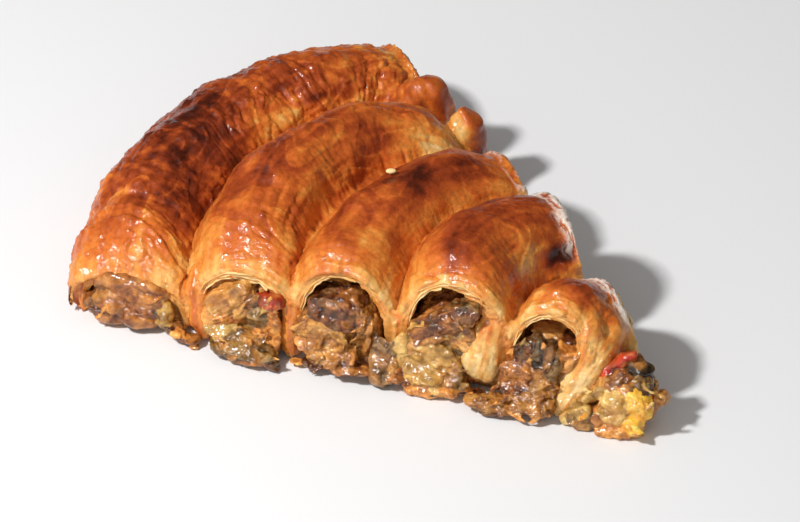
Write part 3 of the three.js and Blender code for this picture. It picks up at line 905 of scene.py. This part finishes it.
def brownCrust(piece):
    spot = rollCoords(readPoints(piece))
    points = spot.points
    height = points[:, 2]
    skin = ramp(*brownSettings["rings"], spot.ring)
    brown = bakedBrown(spot) * skin + faceBrown(spot) * (1 - skin)
    tunnel = brownSettings["tunnel"] + patchy(points, "tunnel")
    brown = np.where(spot.ring < brownSettings["tunnelRing"], tunnel, brown)
    atFoot = (height < brownSettings["footHeight"]) & (skin > 0.5)
    brown = np.where(atFoot, brown + brownSettings["foot"], brown)
    streaks = lumpStreaks(points, strandLumps)
    uneven = patchy(points, "paleDough")
    pale = brownSettings["pale"] + brownSettings["paleTop"] * ramp(*brownSettings["paleHeights"], height)
    pale = pale + uneven + brownSettings["paleStrands"] * streaks
    brown += lumpNearness(points, paleLumps) * (pale - brown)
    web = brownSettings["web"] + uneven + brownSettings["webStrands"] * streaks
    brown += lumpNearness(points, webLumps) * (web - brown)
    brown += lumpNearness(points, knobs) * (knobBrown(points) - brown)
    torn = tornFoot(spot) * ramp(*footSettings["toneHeights"], height)
    brown += torn * (1 - skin) * (footSettings["tone"] * patchy(points, "torn"))
    brown = np.maximum(brown, burntFoot(spot))
    colours = shade(crustTones, np.clip(brown, 0.02, 1))
    # the white along the back edges is partly dry sheet and partly painted sheen, strongest at the rim
    paleEdgeAndSheen = peelSettings["paleEdgeAndSheen"] * peeledEdgeAndSheen(spot)[:, None]
    grip = 1 - brownSettings["smoothed"] * lumpNearness(points, strandLumps)
    writeTone(piece, colours * (1 - paleEdgeAndSheen) + linear(peelSettings["tone"]) * paleEdgeAndSheen, grip)


brownCrust(pastry)  # the colours follow the plain form of the rolls, so they come before the relief
shapeCrust(pastry)
thinOut(pastry, pastrySettings["triangles"])
finishPiece(pastry, crustMaterial, ["pastry"])
print("pastry shaped", len(pastry.data.polygons))

# thin sheets in the walls of the rolls, whose edges show at the cuts
layerSettings = {"count": 3, "thick": 0.4, "inside": 2.5, "steps": 150, "rows": 5}
layerTones = [(-0.6, (246, 236, 222)), (0.0, (248, 220, 160)), (0.5, (236, 186, 108)), (1.0, (206, 132, 60)),
              (1.5, (120, 62, 24)), (2.0, (36, 20, 12))]


def crustRibbon(number, spec):
    # depth runs from 0 at the tunnel to 1 at the skin, first and last are places around the roll in degrees
    steps = layerSettings["steps"]
    bpy.ops.mesh.primitive_grid_add(x_subdivisions=steps, y_subdivisions=layerSettings["rows"], size=2)
    ribbon = bpy.context.object
    grid = readVertices(ribbon, "co") / 2 + 0.5
    around = spec["first"] + (spec["last"] - spec["first"]) * grid[:, 0]
    seat = np.stack([around / 26, np.full(len(around), spec["seed"] * 5.3), np.zeros(len(around))], 1)
    reach = spec["reach"] + spec["wavy"] * cloud(seat, 1.0, 81, 2)
    reach += spec.get("ragged", 0) * cloud(seat * 4.3, 1.0, 84, 2)
    inward = (reach + spec["inside"]) * grid[:, 1] - reach
    length = arcLength(number)
    share = (length + coil["knifeMiss"] - inward if spec["atBack"] else inward) / length
    angle = np.radians(around)
    depth = spec["depth"] + spec["stray"] * cloud(seat * 1.7, 1.0, 82, 2)
    depth = depth * (spec["side"] + (1 - spec["side"]) * np.clip(np.sin(angle), 0, 1))
    depth = depth[:, None]
    points = tunnelPoint(number, share, angle) * (1 - depth) + skinPoint(number, share, angle) * depth
    points[:, 2] = np.maximum(points[:, 2], 0.2)
    writePoints(ribbon, points)
    level = spec["tone"] + 0.5 * cloud(points, 6, 83, 2) + 0.3 * grid[:, 1]
    writeTone(ribbon, shade(layerTones, level))
    return ribbon


def layerSpecs(number):
    # sheets at the front and the back cut by turns, from the tunnel outwards
    specs = []
    draws = seededDraws(211 + number)
    for order in range(2 * layerSettings["count"]):
        part = (order // 2) / (layerSettings["count"] - 1)
        first = 10 + 50 * next(draws)
        specs.append({"depth": 0.12 + 0.5 * part, "first": first, "last": first + 60 + 60 * next(draws),
                      "reach": 0.1 + 0.6 * next(draws), "wavy": 0.9, "stray": 0.14, "side": 0.5,
                      "inside": layerSettings["inside"], "seed": number * 7 + order,
                      "tone": 0.25 + 0.3 * part, "atBack": order % 2 == 1})
    return specs


# burnt sheets that stand off at the outer foot
loose = {"reach": -0.1, "wavy": 1.2, "ragged": 1.6, "stray": 0.05, "side": 1, "inside": 1.5, "atBack": False}
looseRows = ((1.0, -15, 52, 0.6), (1.06, -18, 34, 0.9), (1.1, -18, 42, 1.2), (1.14, -18, 8, 1.8))
looseSheets = [{**loose, "depth": depth, "first": first, "last": last, "seed": depth * 100, "tone": tone}
               for depth, first, last, tone in looseRows]

# the outer roll is folded shut, without open layers
ribbons = [crustRibbon(number, spec) for number in range(1, len(rolls)) for spec in layerSpecs(number)]
ribbons += [crustRibbon(0, spec) for spec in looseSheets]
layers = joinAll(ribbons, "crustLayers")
applyModifier(layers, "SOLIDIFY", thickness=layerSettings["thick"] * mm, offset=0)
applyModifier(layers, "TRIANGULATE")
finishPiece(layers, layerMaterial, [])
print("layers", len(layers.data.polygons))

# one sesame seed on the third roll
seedSettings = {"x": -99.8, "y": 46.6, "z": 43.9, "long": 3.4, "deep": 2.2, "tall": 1.5, "turn": 20,
                "lumpy": 0.1, "tone": (250, 214, 150)}
seed = roundLump(seedSettings, 3)
seed.name = "sesameSeed"
writeTone(seed, np.tile(linear(seedSettings["tone"]), (len(seed.data.vertices), 1)))
finishPiece(seed, layerMaterial, [])
print("seed", len(seed.data.polygons))

# the filling of each roll: a core through the tunnel and the pieces that show at the cuts
stuffingSettings = {"clearance": 0.9, "spill": 2, "face": 3.0, "footSpread": 10, "footHeights": (11, 2),
                    "pressed": 0.7, "plug": 16, "overlap": 4, "voxel": 0.4, "smoothing": 2,
                    "coreVoxel": 0.9, "triangles": 88000, "backKinds": ("meat", "flesh", "mince"),
                    "backSizes": (9, 15), "backHeights": (6, 18), "shreds": (7, 26, 22, 14, 26, 9)}
# what the small shreds on each heap are made of, roll by roll, the tip last
shredKinds = [("onion", "meat", "orange", "darkMeat"), ("tan", "orange", "green", "pale", "grey"),
              ("mince", "tan", "meat", "orange"), ("flesh", "tan", "green", "meat"),
              ("mince", "orange", "tan", "meat", "grey"), ("yellow", "orange", "mash", "leek", "mash")]
# pieces at the front cut: ingredient, place, length, depth, height, tilt up from +X, boxiness
frontPieces = [
    [  # roll 1
        ("onion", -173, 2.5, 13.5, 28, 11, 12, 0, 0.7),
        ("onion", -176.5, 0, 7, 18, 10, 13, 15, 0.75),
        ("meat", -166, -0.5, 10.5, 13, 9, 11, -10, 0.75),
        ("onion", -169, -1, 5, 13, 10, 8, -5, 0.75),
        ("meat", -181.5, 0.5, 6, 7, 9, 12, 75, 0.8),
        ("pale", -160.5, -1, 7, 5.5, 8, 11, 0, 0.8),
        ("darkMeat", -157, -3, 4.5, 6, 6, 2.5, 0, 0.8),
        ("orange", -155, -5, 3.5, 5.5, 5, 3, 0, 0.8),
        ("meat", -150.5, -5, 2.5, 6, 6, 2.5, 0, 0.8),
        ("orange", -149, -6, 0.5, 3.5, 3, 1, 0, 0.8),
    ],
    [  # roll 2
        ("tan", -140, 0, 17, 23.5, 9, 7.5, 45, 0.7),
        ("orange", -141, -2, 11.5, 15.5, 9, 6, 15, 1),
        ("tan", -134.5, -1, 15.5, 16, 7, 4, 50, 0.7),
        ("pale", -140.5, -4, 7.5, 13.5, 8, 5.5, 0, 0.8),
        ("grey", -127.5, -1, 14, 10.5, 10, 8.5, 0, 0.75),
        ("stewed", -126, 0, 20, 11, 7, 6, 10, 0.7),
        ("skin", -130, 0, 19, 4, 5, 2.5, 0, 1),
        ("darkMeat", -131, 4, 21, 9.5, 8, 4.5, 0, 1),
        ("green", -132.5, -6, 4.5, 23.5, 12, 10.5, 0, 1),
        ("orange", -123.5, -4, 10, 5.5, 8, 16.5, 0, 1),
        ("green", -138.5, -7, 4, 8.5, 8, 5.5, 0, 1),
        ("blackSkin", -137, -11, 6.5, 2.5, 3, 1, 0, 1),
        ("blackSkin", -132.5, -11, 9, 1.5, 3, 1, 0, 1),
        ("darkMeat", -122, -9, 2, 5, 6, 4.5, 0, 0.7),
        ("meat", -128.5, -8, 2.5, 13.5, 6, 1.5, 0, 1),
    ],
    [  # roll 3
        ("darkMeat", -103.5, 0, 21, 19, 15, 14, 0, 1),
        ("mince", -108, -3, 12.5, 18, 12, 13.5, 0, 1),
        ("mince", -103.5, -5, 8, 17.5, 10, 8.5, 0, 1),
        ("darkMeat", -96.5, 0, 22.5, 5.5, 9, 11, 0, 1),
        ("pale", -100, -9, 11.5, 5, 5, 4.5, 0, 1),
        ("mince", -94, -1, 17, 15, 8, 3, 80, 1),
        ("tan", -92, -3, 14.5, 11.5, 5, 2.5, 75, 1),
        ("meat", -96.5, -7, 4, 15, 7, 2.5, 5, 1),
        ("darkMeat", -109.5, -6, 3, 7, 6, 2.5, -15, 1),
        ("meat", -113.5, -1, 17, 10.5, 7, 3.5, 55, 1),
        ("orange", -115, -5, 1.5, 5.5, 4, 1, 0, 1),
        ("orange", -112.5, -4, 11, 6, 8, 7.5, 0, 1),
    ],
    [  # roll 4
        ("skin", -86.5, -6, 8, 8, 9, 17.5, 0, 0.75),
        ("grey", -82.5, -7, 9.5, 5.5, 8, 16.5, -10, 0.75),
        ("flesh", -80, -5, 13.5, 6.5, 8, 13.5, 0, 1),
        ("tan", -77, -4, 13.5, 4, 7, 9, 0, 1),
        ("meat", -81, -6, 5, 8.5, 7, 6, 0, 1),
        ("meat", -67.5, 1, 25, 30.5, 14, 9.5, 35, 0.75),
        ("grey", -59, 1, 32.5, 10, 9, 4.5, 20, 0.7),
        ("orange", -69.5, -6, 25.5, 4.5, 4, 2, 0, 1),
        ("mince", -72.5, -2, 18, 14.5, 8, 4.5, 30, 1),
        ("grey", -64.5, 3, 15.5, 13.5, 10, 5, 10, 0.75),
        ("flesh", -71, -4, 10, 19.5, 12, 17, 0, 0.85),
        ("green", -63, -4, 7.5, 8, 9, 12, 0, 1),
        ("orange", -68, -6, 2.5, 22, 8, 4.5, 5, 1),
        ("flesh", -66.5, -5, 3, 10, 8, 3, 0, 1),
        ("blackSkin", -67.5, -9, 2, 1.5, 3, 1, 0, 1),
        ("darkMeat", -54, -6, 3, 6, 6, 2, 0, 1),
    ],
    [  # roll 5
        ("darkMeat", -40, 1, 19, 16.5, 9, 6.5, 55, 1),
        ("tan", -41, -2, 12, 22, 6, 3.5, 55, 0.7),
        ("meat", -41, -3, 10.5, 14, 12, 14.5, 0, 1),
        ("blackSkin", -34.5, -2.5, 20.5, 13, 7, 5, 85, 0.7),
        ("skin", -31.5, -2, 19.5, 12, 8, 5, 85, 0.7),
        ("grey", -30.5, -3, 13.5, 17.5, 7, 5, 75, 0.7),
        ("orange", -27, 1, 21.5, 8.5, 9, 4.5, 0, 1),
        ("tan", -24.5, 0, 19, 15, 6, 3, 50, 1),
        ("mince", -33.5, -5, 10.5, 10.5, 10, 10.5, 0, 1),
        ("mince", -47.5, -10, 3.5, 21, 10, 4, 0, 1),
        ("mince", -35.5, -9, 6, 17, 10, 7.5, 0, 1),
        ("darkMeat", -48, -13, 1.5, 8.5, 5, 2, 0, 1),
        ("tan", -35.5, 6, 25, 8.5, 7, 3, 0, 1),
        ("darkMeat", -26.5, 6, 23.5, 7.5, 8, 3, 0, 1),
        ("mince", -53, -9, 3, 10, 7, 2.5, 0, 1),
    ],
]
tipPieces = [
    ("tan", -6, 0, 10, 22, 17, 18, 0, 0.8),
    ("pepper", -10, 1, 20, 18, 5, 4, 40, 0.65),
    ("blackSkin", -2, 2, 20.5, 8.5, 7, 3.5, -25, 0.7),
    ("skin", -1.5, -1, 15.5, 9, 10, 7.5, 0, 0.75),
    ("meat", -8, 0, 17, 9, 10, 7, 30, 0.75),
    ("mash", -7.5, -7, 8.5, 11, 9, 13, 0, 0.75),
    ("yellow", -1.5, -7, 6.5, 17, 4.5, 8, 80, 0.6),
    ("yellow", 0, -6.5, 10, 9, 6, 9, 0, 0.65),
    ("pepper", 2.5, -4, 12.5, 4, 5, 2.5, 0, 0.8),
    ("tan", 5.5, 0, 11, 4.5, 6, 5, 0, 0.7),
    ("leek", -19, -6, 5.5, 6.5, 7, 8, 30, 0.75),
    ("leek", -18, -4, 8.5, 16, 5, 4, 45, 0.65),
    ("tan", -14.5, -2, 13, 14, 5, 3, 45, 0.65),
    ("leek", -20.5, -9, 4.5, 14, 4, 5, 35, 0.65),
    ("grey", -18.5, -9.5, 2.5, 10, 4, 5, -20, 0.65),
    ("onion", -13, -8, 5.5, 5.5, 7, 6.5, 0, 0.8),
    ("orange", -7.5, -9, 2, 12, 7, 5, 5, 0.75),
    ("yellow", -1.5, -8, 4.5, 8, 7, 7, 0, 0.75),
]

# each ingredient: raggedness of a piece, size of its grain along, into and up a piece, depth of the grain
# and of its crumbs, dark, usual and light colour
ingredientFields = ("ragged", "grain", "depth", "crumb", "tones")
ingredients = {kind: dict(zip(ingredientFields, values)) for kind, *values in (
    ("meat", 1.1, (8, 1.7, 1.7), 0.5, 0.26, ((78, 38, 13), (135, 75, 32), (188, 121, 57))),
    ("darkMeat", 1.1, (7, 1.7, 1.7), 0.45, 0.26, ((44, 19, 6), (90, 42, 16), (136, 74, 31))),
    ("mince", 1.4, (4, 2, 2), 0.4, 0.34, ((115, 65, 22), (169, 110, 47), (209, 154, 76))),
    ("tan", 0.8, (10, 1.8, 1.8), 0.45, 0.14, ((139, 82, 32), (196, 131, 62), (232, 175, 96))),
    ("onion", 0.35, (8, 4, 4), 0.3, 0.06, ((98, 48, 17), (156, 91, 39), (208, 142, 72))),
    ("flesh", 0.9, (7, 2.4, 2.4), 0.4, 0.2, ((145, 102, 42), (198, 149, 76), (236, 194, 114))),
    ("green", 0.9, (6, 2.2, 2.2), 0.4, 0.2, ((80, 53, 20), (133, 91, 39), (177, 133, 64))),
    ("grey", 0.7, (7, 2, 2), 0.4, 0.18, ((64, 45, 22), (129, 95, 51), (190, 148, 84))),
    ("skin", 0.5, (6, 2.2, 2.2), 0.4, 0.1, ((54, 35, 21), (105, 73, 43), (161, 121, 75))),
    ("blackSkin", 0.5, (6, 2, 2), 0.4, 0.1, ((18, 12, 8), (44, 31, 21), (88, 67, 44))),
    ("pepper", 0.8, (7, 3, 3), 0.3, 0.1, ((124, 18, 5), (178, 38, 11), (214, 70, 28))),
    ("stewed", 0.8, (7, 3, 3), 0.3, 0.1, ((108, 26, 9), (166, 52, 24), (210, 92, 48))),
    ("pale", 0.9, (6, 2.4, 2.4), 0.35, 0.16, ((154, 107, 47), (189, 145, 70), (207, 172, 99))),
    ("mash", 0.7, (6, 3, 3), 0.35, 0.12, ((198, 144, 70), (238, 194, 112), (254, 224, 156))),
    ("leek", 0.8, (9, 2, 2), 0.4, 0.14, ((118, 86, 34), (186, 140, 70), (226, 192, 116))),
    ("yellow", 0.9, (6, 2.6, 2.6), 0.35, 0.1, ((237, 145, 35), (255, 194, 63), (255, 224, 109))),
    ("orange", 1.4, (4, 2, 2), 0.4, 0.26, ((151, 78, 26), (218, 141, 62), (254, 192, 102))),
)}
pieceFields = ("kind", "x", "y", "z", "long", "deep", "tall", "tilt", "square")
# depths of the filling's relief, and how much each of its causes makes a place lighter or darker; fibres,
# crumbs and creases are painted darker in their hollows as painted shade, while the lots and the uneven
# patches are the filling's own tone
stuffingDepths = {"fibres": 0.9, "crumbs": 0.7, "uneven": 0.4, "creases": 0.6, "warp": 0.9}
stuffingToneAndShade = {"fibres": 0.3, "crumbs": 0.6, "crumbLot": 0.3, "uneven": 0.45, "pieceLot": 0.2,
                  "creases": 0.35}
stuffingSizes = {"warp": 4, "crumb": 1.15, "uneven": 5, "light": 6, "stain": 6, "crease": 0.55,
                 "creasePatch": 5}
# orange juice and dull fat stain all pieces here and there
stains = [{"share": 0.4, "patches": (0.05, 0.45), "tone": (206, 134, 62)},
          {"share": 0.25, "patches": (-0.1, -0.5), "tone": (158, 124, 72)}]


def readPieces(rows, seed):
    # names the values of each row, and turns and roughens the pieces a little
    draws = seededDraws(seed)
    made = []
    for row in rows:
        spec = dict(zip(pieceFields, row))
        rough = ingredients[spec["kind"]]["ragged"] * min(1, min(spec["long"], spec["tall"]) / 6)
        made.append({**spec, "square": min(spec["square"], 0.8), "lumpy": rough, "grain": 4,
                     "turn": (50 * next(draws) - 25) * min(1, 10 / spec["long"])})
    return made


frontPieces = [readPieces(rows, 401 + number) for number, rows in enumerate(frontPieces)]
tipPieces = readPieces(tipPieces, 409)


def backPieces(number):
    # pieces across the mouth at the back cut
    draws = seededDraws(101 + number)
    low, high = stuffingSettings["backSizes"]
    made = []
    kinds = stuffingSettings["backKinds"]
    end = np.array(1 + coil["knifeMiss"] / arcLength(number))
    for turn, kind in enumerate(kinds):
        across = ((turn + 0.5) / len(kinds) - 0.5) * rolls[number]["half"][2]
        lowest, highest = stuffingSettings["backHeights"]
        height = lowest + (highest - lowest) * next(draws)
        x, y, z = placePoint(number, end, np.array(across), np.array(height))
        size = [low + (high - low) * next(draws) for _ in range(3)]
        made.append({"kind": kind, "x": x, "y": y, "z": z, "long": size[0], "deep": size[1], "tall": size[2],
                     "tilt": 40 * next(draws)})
    return made


def fillingCore(number, first, last):
    # a globe drawn out along the tunnel, its poles flattened to the end faces
    bpy.ops.mesh.primitive_uv_sphere_add(segments=64, ring_count=60)
    core = bpy.context.object
    ball = readVertices(core, "co")
    polar = np.arccos(np.clip(ball[:, 2], -1, 1)) / math.pi
    share = (first + (last - first) * np.clip((polar - 0.1) / 0.8, 0, 1)) / arcLength(number)
    around = np.arctan2(ball[:, 1], ball[:, 0])
    wall = tunnelPoint(number, share, around, stuffingSettings["clearance"], rolls[number]["filled"])
    middleHeight = np.full(len(share), 0.4 * rolls[number]["height"][1])
    middle = placePoint(number, share, np.zeros(len(share)), middleHeight)
    full = np.clip(np.minimum(polar, 1 - polar) / 0.1, 0, 1)[:, None]
    writePoints(core, middle + (wall - middle) * full)
    return core


def shredSpecs(piece, number, front):
    # small strips that lie on the front of a heap, their depth read off the heap
    points = readPoints(piece)
    draws = seededDraws(307 + number)
    kinds = shredKinds[number]
    lowX = min(spec["x"] for spec in front)
    highX = max(spec["x"] for spec in front)
    highZ = max(spec["z"] for spec in front)
    made = []
    for turn in range(stuffingSettings["shreds"][number]):
        x = lowX + (highX - lowX) * next(draws)
        z = 2 + (highZ - 2) * next(draws)
        spec = {"kind": kinds[int(len(kinds) * next(draws))], "x": x, "z": z, "long": 3 + 6 * next(draws),
                "deep": 1.5, "tall": 0.9 + 1.0 * next(draws), "tilt": -30 + 110 * next(draws),
                "turn": 50 * next(draws) - 25, "bend": 3 * next(draws) - 1.5, "square": 0.75}
        close = np.hypot(points[:, 0] - x, points[:, 2] - z) < 1
        if close.any():
            made.append({**spec, "y": points[close, 1].min() + 0.2})
    return made


def boundPieces(points, specs):
    # for each point the nearest piece, how close the next one is, and the place inside the nearest
    first = np.full(len(points), 2.5)  # further from every piece than this is the core
    second = np.full(len(points), 9.0)
    nearest = np.full(len(points), -1)
    inside = points.copy()
    for order, spec in enumerate(specs):
        size = halfSize(spec)
        away = points - middleOf(spec)
        around = np.nonzero(np.linalg.norm(away, axis=1) < size.max() + 5)[0]
        local = away[around] @ lumpTurn(spec)
        apart = (np.linalg.norm(local / size, axis=1) - 1) * size.min()
        apart += 0.9 * cloud(local + order * 7.7, 3.5, 79, 2)
        closer = apart < first[around]
        second[around] = np.where(closer, first[around], np.minimum(second[around], apart))
        chosen = around[closer]
        first[chosen] = apart[closer]
        nearest[chosen] = order
        inside[chosen] = local[closer] + order * 41.3
    return nearest, second - first, inside


def dressStuffing(piece, specs):
    # gives the fused pieces their grain, the creases between them and their colours, with painted shade in
    # the hollows of the grain and in the creases
    points = readPoints(piece)
    normals = readNormals(piece)
    nearest, margin, inside = boundPieces(points, specs)
    names = list(ingredients)
    kinds = np.array([names.index(spec["kind"]) for spec in specs] + [names.index("mince")])[nearest]
    depths = stuffingDepths
    toneAndShade = stuffingToneAndShade
    sizes = stuffingSizes
    crease = hump(margin, 0, sizes["crease"]) * (nearest >= 0)
    crease = crease * (0.5 + 0.5 * cloud(points, sizes["creasePatch"], 77))
    lots = scramble(np.stack([nearest, nearest * 3, nearest * 7], 1).astype(np.int64), 78) / 0x7FFFFFFF
    moved = points.copy()
    colours = np.zeros((len(points), 3))
    for order, look in enumerate(ingredients.values()):
        here = kinds == order
        if not here.any():
            continue
        at = inside[here]
        warped = at + depths["warp"] * np.stack([cloud(at, sizes["warp"], seed) for seed in (71, 72, 73)], 1)
        fibres = cloud(warped, look["grain"], 75, 3)
        apart, lot = cells(warped, sizes["crumb"], 74)
        crumbs = depths["crumbs"] * look["crumb"] * (0.8 - 1.7 * apart)
        bump = depths["fibres"] * look["depth"] * fibres + crumbs
        uneven = depths["uneven"] * cloud(points[here], sizes["uneven"], 85, 2)
        bump += uneven - depths["creases"] * crease[here]
        moved[here] += normals[here] * bump[:, None]
        # painted shade: hollows of the fibres and crumbs and the creases between pieces are darker, raised
        # parts lighter
        level = 0.5 + toneAndShade["fibres"] * fibres - toneAndShade["crumbs"] * look["crumb"] * (apart - 0.45)
        level = level + toneAndShade["crumbLot"] * (lot - 0.5)
        uneven = toneAndShade["uneven"] * cloud(at, sizes["light"], 76, 3)
        level += uneven + toneAndShade["pieceLot"] * (lots[here] - 0.5) - toneAndShade["creases"] * crease[here]
        level = np.clip(level, 0, 1)
        patch = cloud(points[here], sizes["stain"], 86, 2)
        colour = shade(list(zip((0.0, 0.5, 1.0), look["tones"])), level)
        for stain in stains:
            share = stain["share"] * ramp(*stain["patches"], patch)[:, None]
            colour = colour * (1 - share) + linear(stain["tone"]) * (0.5 + level)[:, None] * share
        colours[here] = colour
    moved[:, 2] = np.maximum(moved[:, 2], 0)
    writePoints(piece, moved)
    writeTone(piece, colours)


def cutFlat(piece):
    # the knife left an even face, only the foot of the heap spreads forward
    points = readPoints(piece)
    spread = stuffingSettings["footSpread"] * ramp(*stuffingSettings["footHeights"], points[:, 2])
    limit = stuffingSettings["face"] + spread + 0.8 * cloud(points, 9, 80)
    beyond = np.minimum(points[:, 1] + limit, 0)
    points[:, 1] -= stuffingSettings["pressed"] * beyond
    writePoints(piece, points)


def stuff(name, front, number, node):
    # a fine front with shreds, and behind it in a roll a coarser core to the back cut
    inRoll = number < len(rolls)
    heap = [roundLump(spec) for spec in front]
    if inRoll:
        heap.append(fillingCore(number, -stuffingSettings["spill"], stuffingSettings["plug"]))
    filling = joinAll(heap, name)
    fuse(filling, stuffingSettings["voxel"], stuffingSettings["smoothing"])
    if inRoll:
        cutFlat(filling)
    shreds = shredSpecs(filling, number, front)
    filling = joinAll([filling] + [roundLump({**spec, "lumpy": 0.15}, 3) for spec in shreds], name)
    fuse(filling, stuffingSettings["voxel"], 1)
    dressStuffing(filling, front + shreds)
    applyModifier(filling, "TRIANGULATE")
    if inRoll:
        back = backPieces(number)
        end = arcLength(number) + coil["knifeMiss"] + stuffingSettings["spill"]
        core = [fillingCore(number, stuffingSettings["plug"] - stuffingSettings["overlap"], end)]
        core = joinAll(core + [roundLump(spec) for spec in back], name + "Core")
        fuse(core, stuffingSettings["coreVoxel"], 1)
        dressStuffing(core, back)
        applyModifier(core, "TRIANGULATE")
        filling = joinAll([filling, core], name)
    thinOut(filling, stuffingSettings["triangles"])
    finishPiece(filling, stuffingMaterial, [node])
    print(name, len(filling.data.polygons))


for number, specs in enumerate(frontPieces):
    stuff("stuffing" + str(number + 1), specs, number, "filling_" + str(number + 1))
stuff("stuffingTip", tipPieces, len(rolls), "filling_tip")

# floor, lights and camera
floorSettings = {"size": 6, "below": 0.0003, "colour": (0.82, 0.82, 0.82, 1), "roughness": 0.6}
bpy.ops.mesh.primitive_plane_add(size=floorSettings["size"], location=(0, 0, -floorSettings["below"]))
floor = bpy.context.object
floor.name = "floor"
floorMaterial = bpy.data.materials.new("paleFloor")
floorMaterial.use_nodes = True
setInputs(floorMaterial.node_tree.nodes["Principled BSDF"],
          {"Base Color": floorSettings["colour"], "Roughness": floorSettings["roughness"]})
floor.data.materials.append(floorMaterial)

lightSettings = {
    "key": {"power": 12, "size": 0.1, "at": Vector((-0.427, -0.465, 0.776)).normalized() * 1.1},
    "front": {"power": 2, "size": 0.9, "at": Vector((0.1, -1.1, 0.3))},  # soft and not mirrored
    "glint": {"power": 6, "size": 0.18, "at": Vector((-0.25, -1.0, 0.3))},  # only mirrored, in wet places
}
fillLight = 0.3
lamps = {}
for name, light in lightSettings.items():
    bpy.ops.object.light_add(type="AREA", location=light["at"])
    lamps[name] = bpy.context.object
    lamps[name].data.energy = light["power"]
    lamps[name].data.size = light["size"]
    lamps[name].rotation_euler = light["at"].to_track_quat("Z", "Y").to_euler()
lamps["front"].visible_glossy = False
lamps["glint"].visible_diffuse = False
world = bpy.data.worlds.new("studio")
bpy.context.scene.world = world
world.use_nodes = True
setInputs(world.node_tree.nodes["Background"], {"Color": (1, 1, 1, 1), "Strength": fillLight})
world.cycles_visibility.glossy = False  # the room is dark, only the lamps and the floor are mirrored

cameraSettings = {"azimuth": math.radians(17.5), "elevation": math.radians(37.5), "wide": 0.2556,
                  "target": (0.0102, -0.0551, 0.0408), "away": 1.0}
azimuth = cameraSettings["azimuth"]
elevation = cameraSettings["elevation"]
level = math.cos(elevation)
back = Vector((math.sin(azimuth) * level, -math.cos(azimuth) * level, math.sin(elevation)))
bpy.ops.object.camera_add(location=Vector(cameraSettings["target"]) + back * cameraSettings["away"])
camera = bpy.context.object
camera.rotation_euler = back.to_track_quat("Z", "Y").to_euler()
camera.data.type = "ORTHO"
camera.data.ortho_scale = cameraSettings["wide"]
bpy.context.scene.camera = camera
bpy.context.scene.view_settings.view_transform = "Standard"
print("stage set")
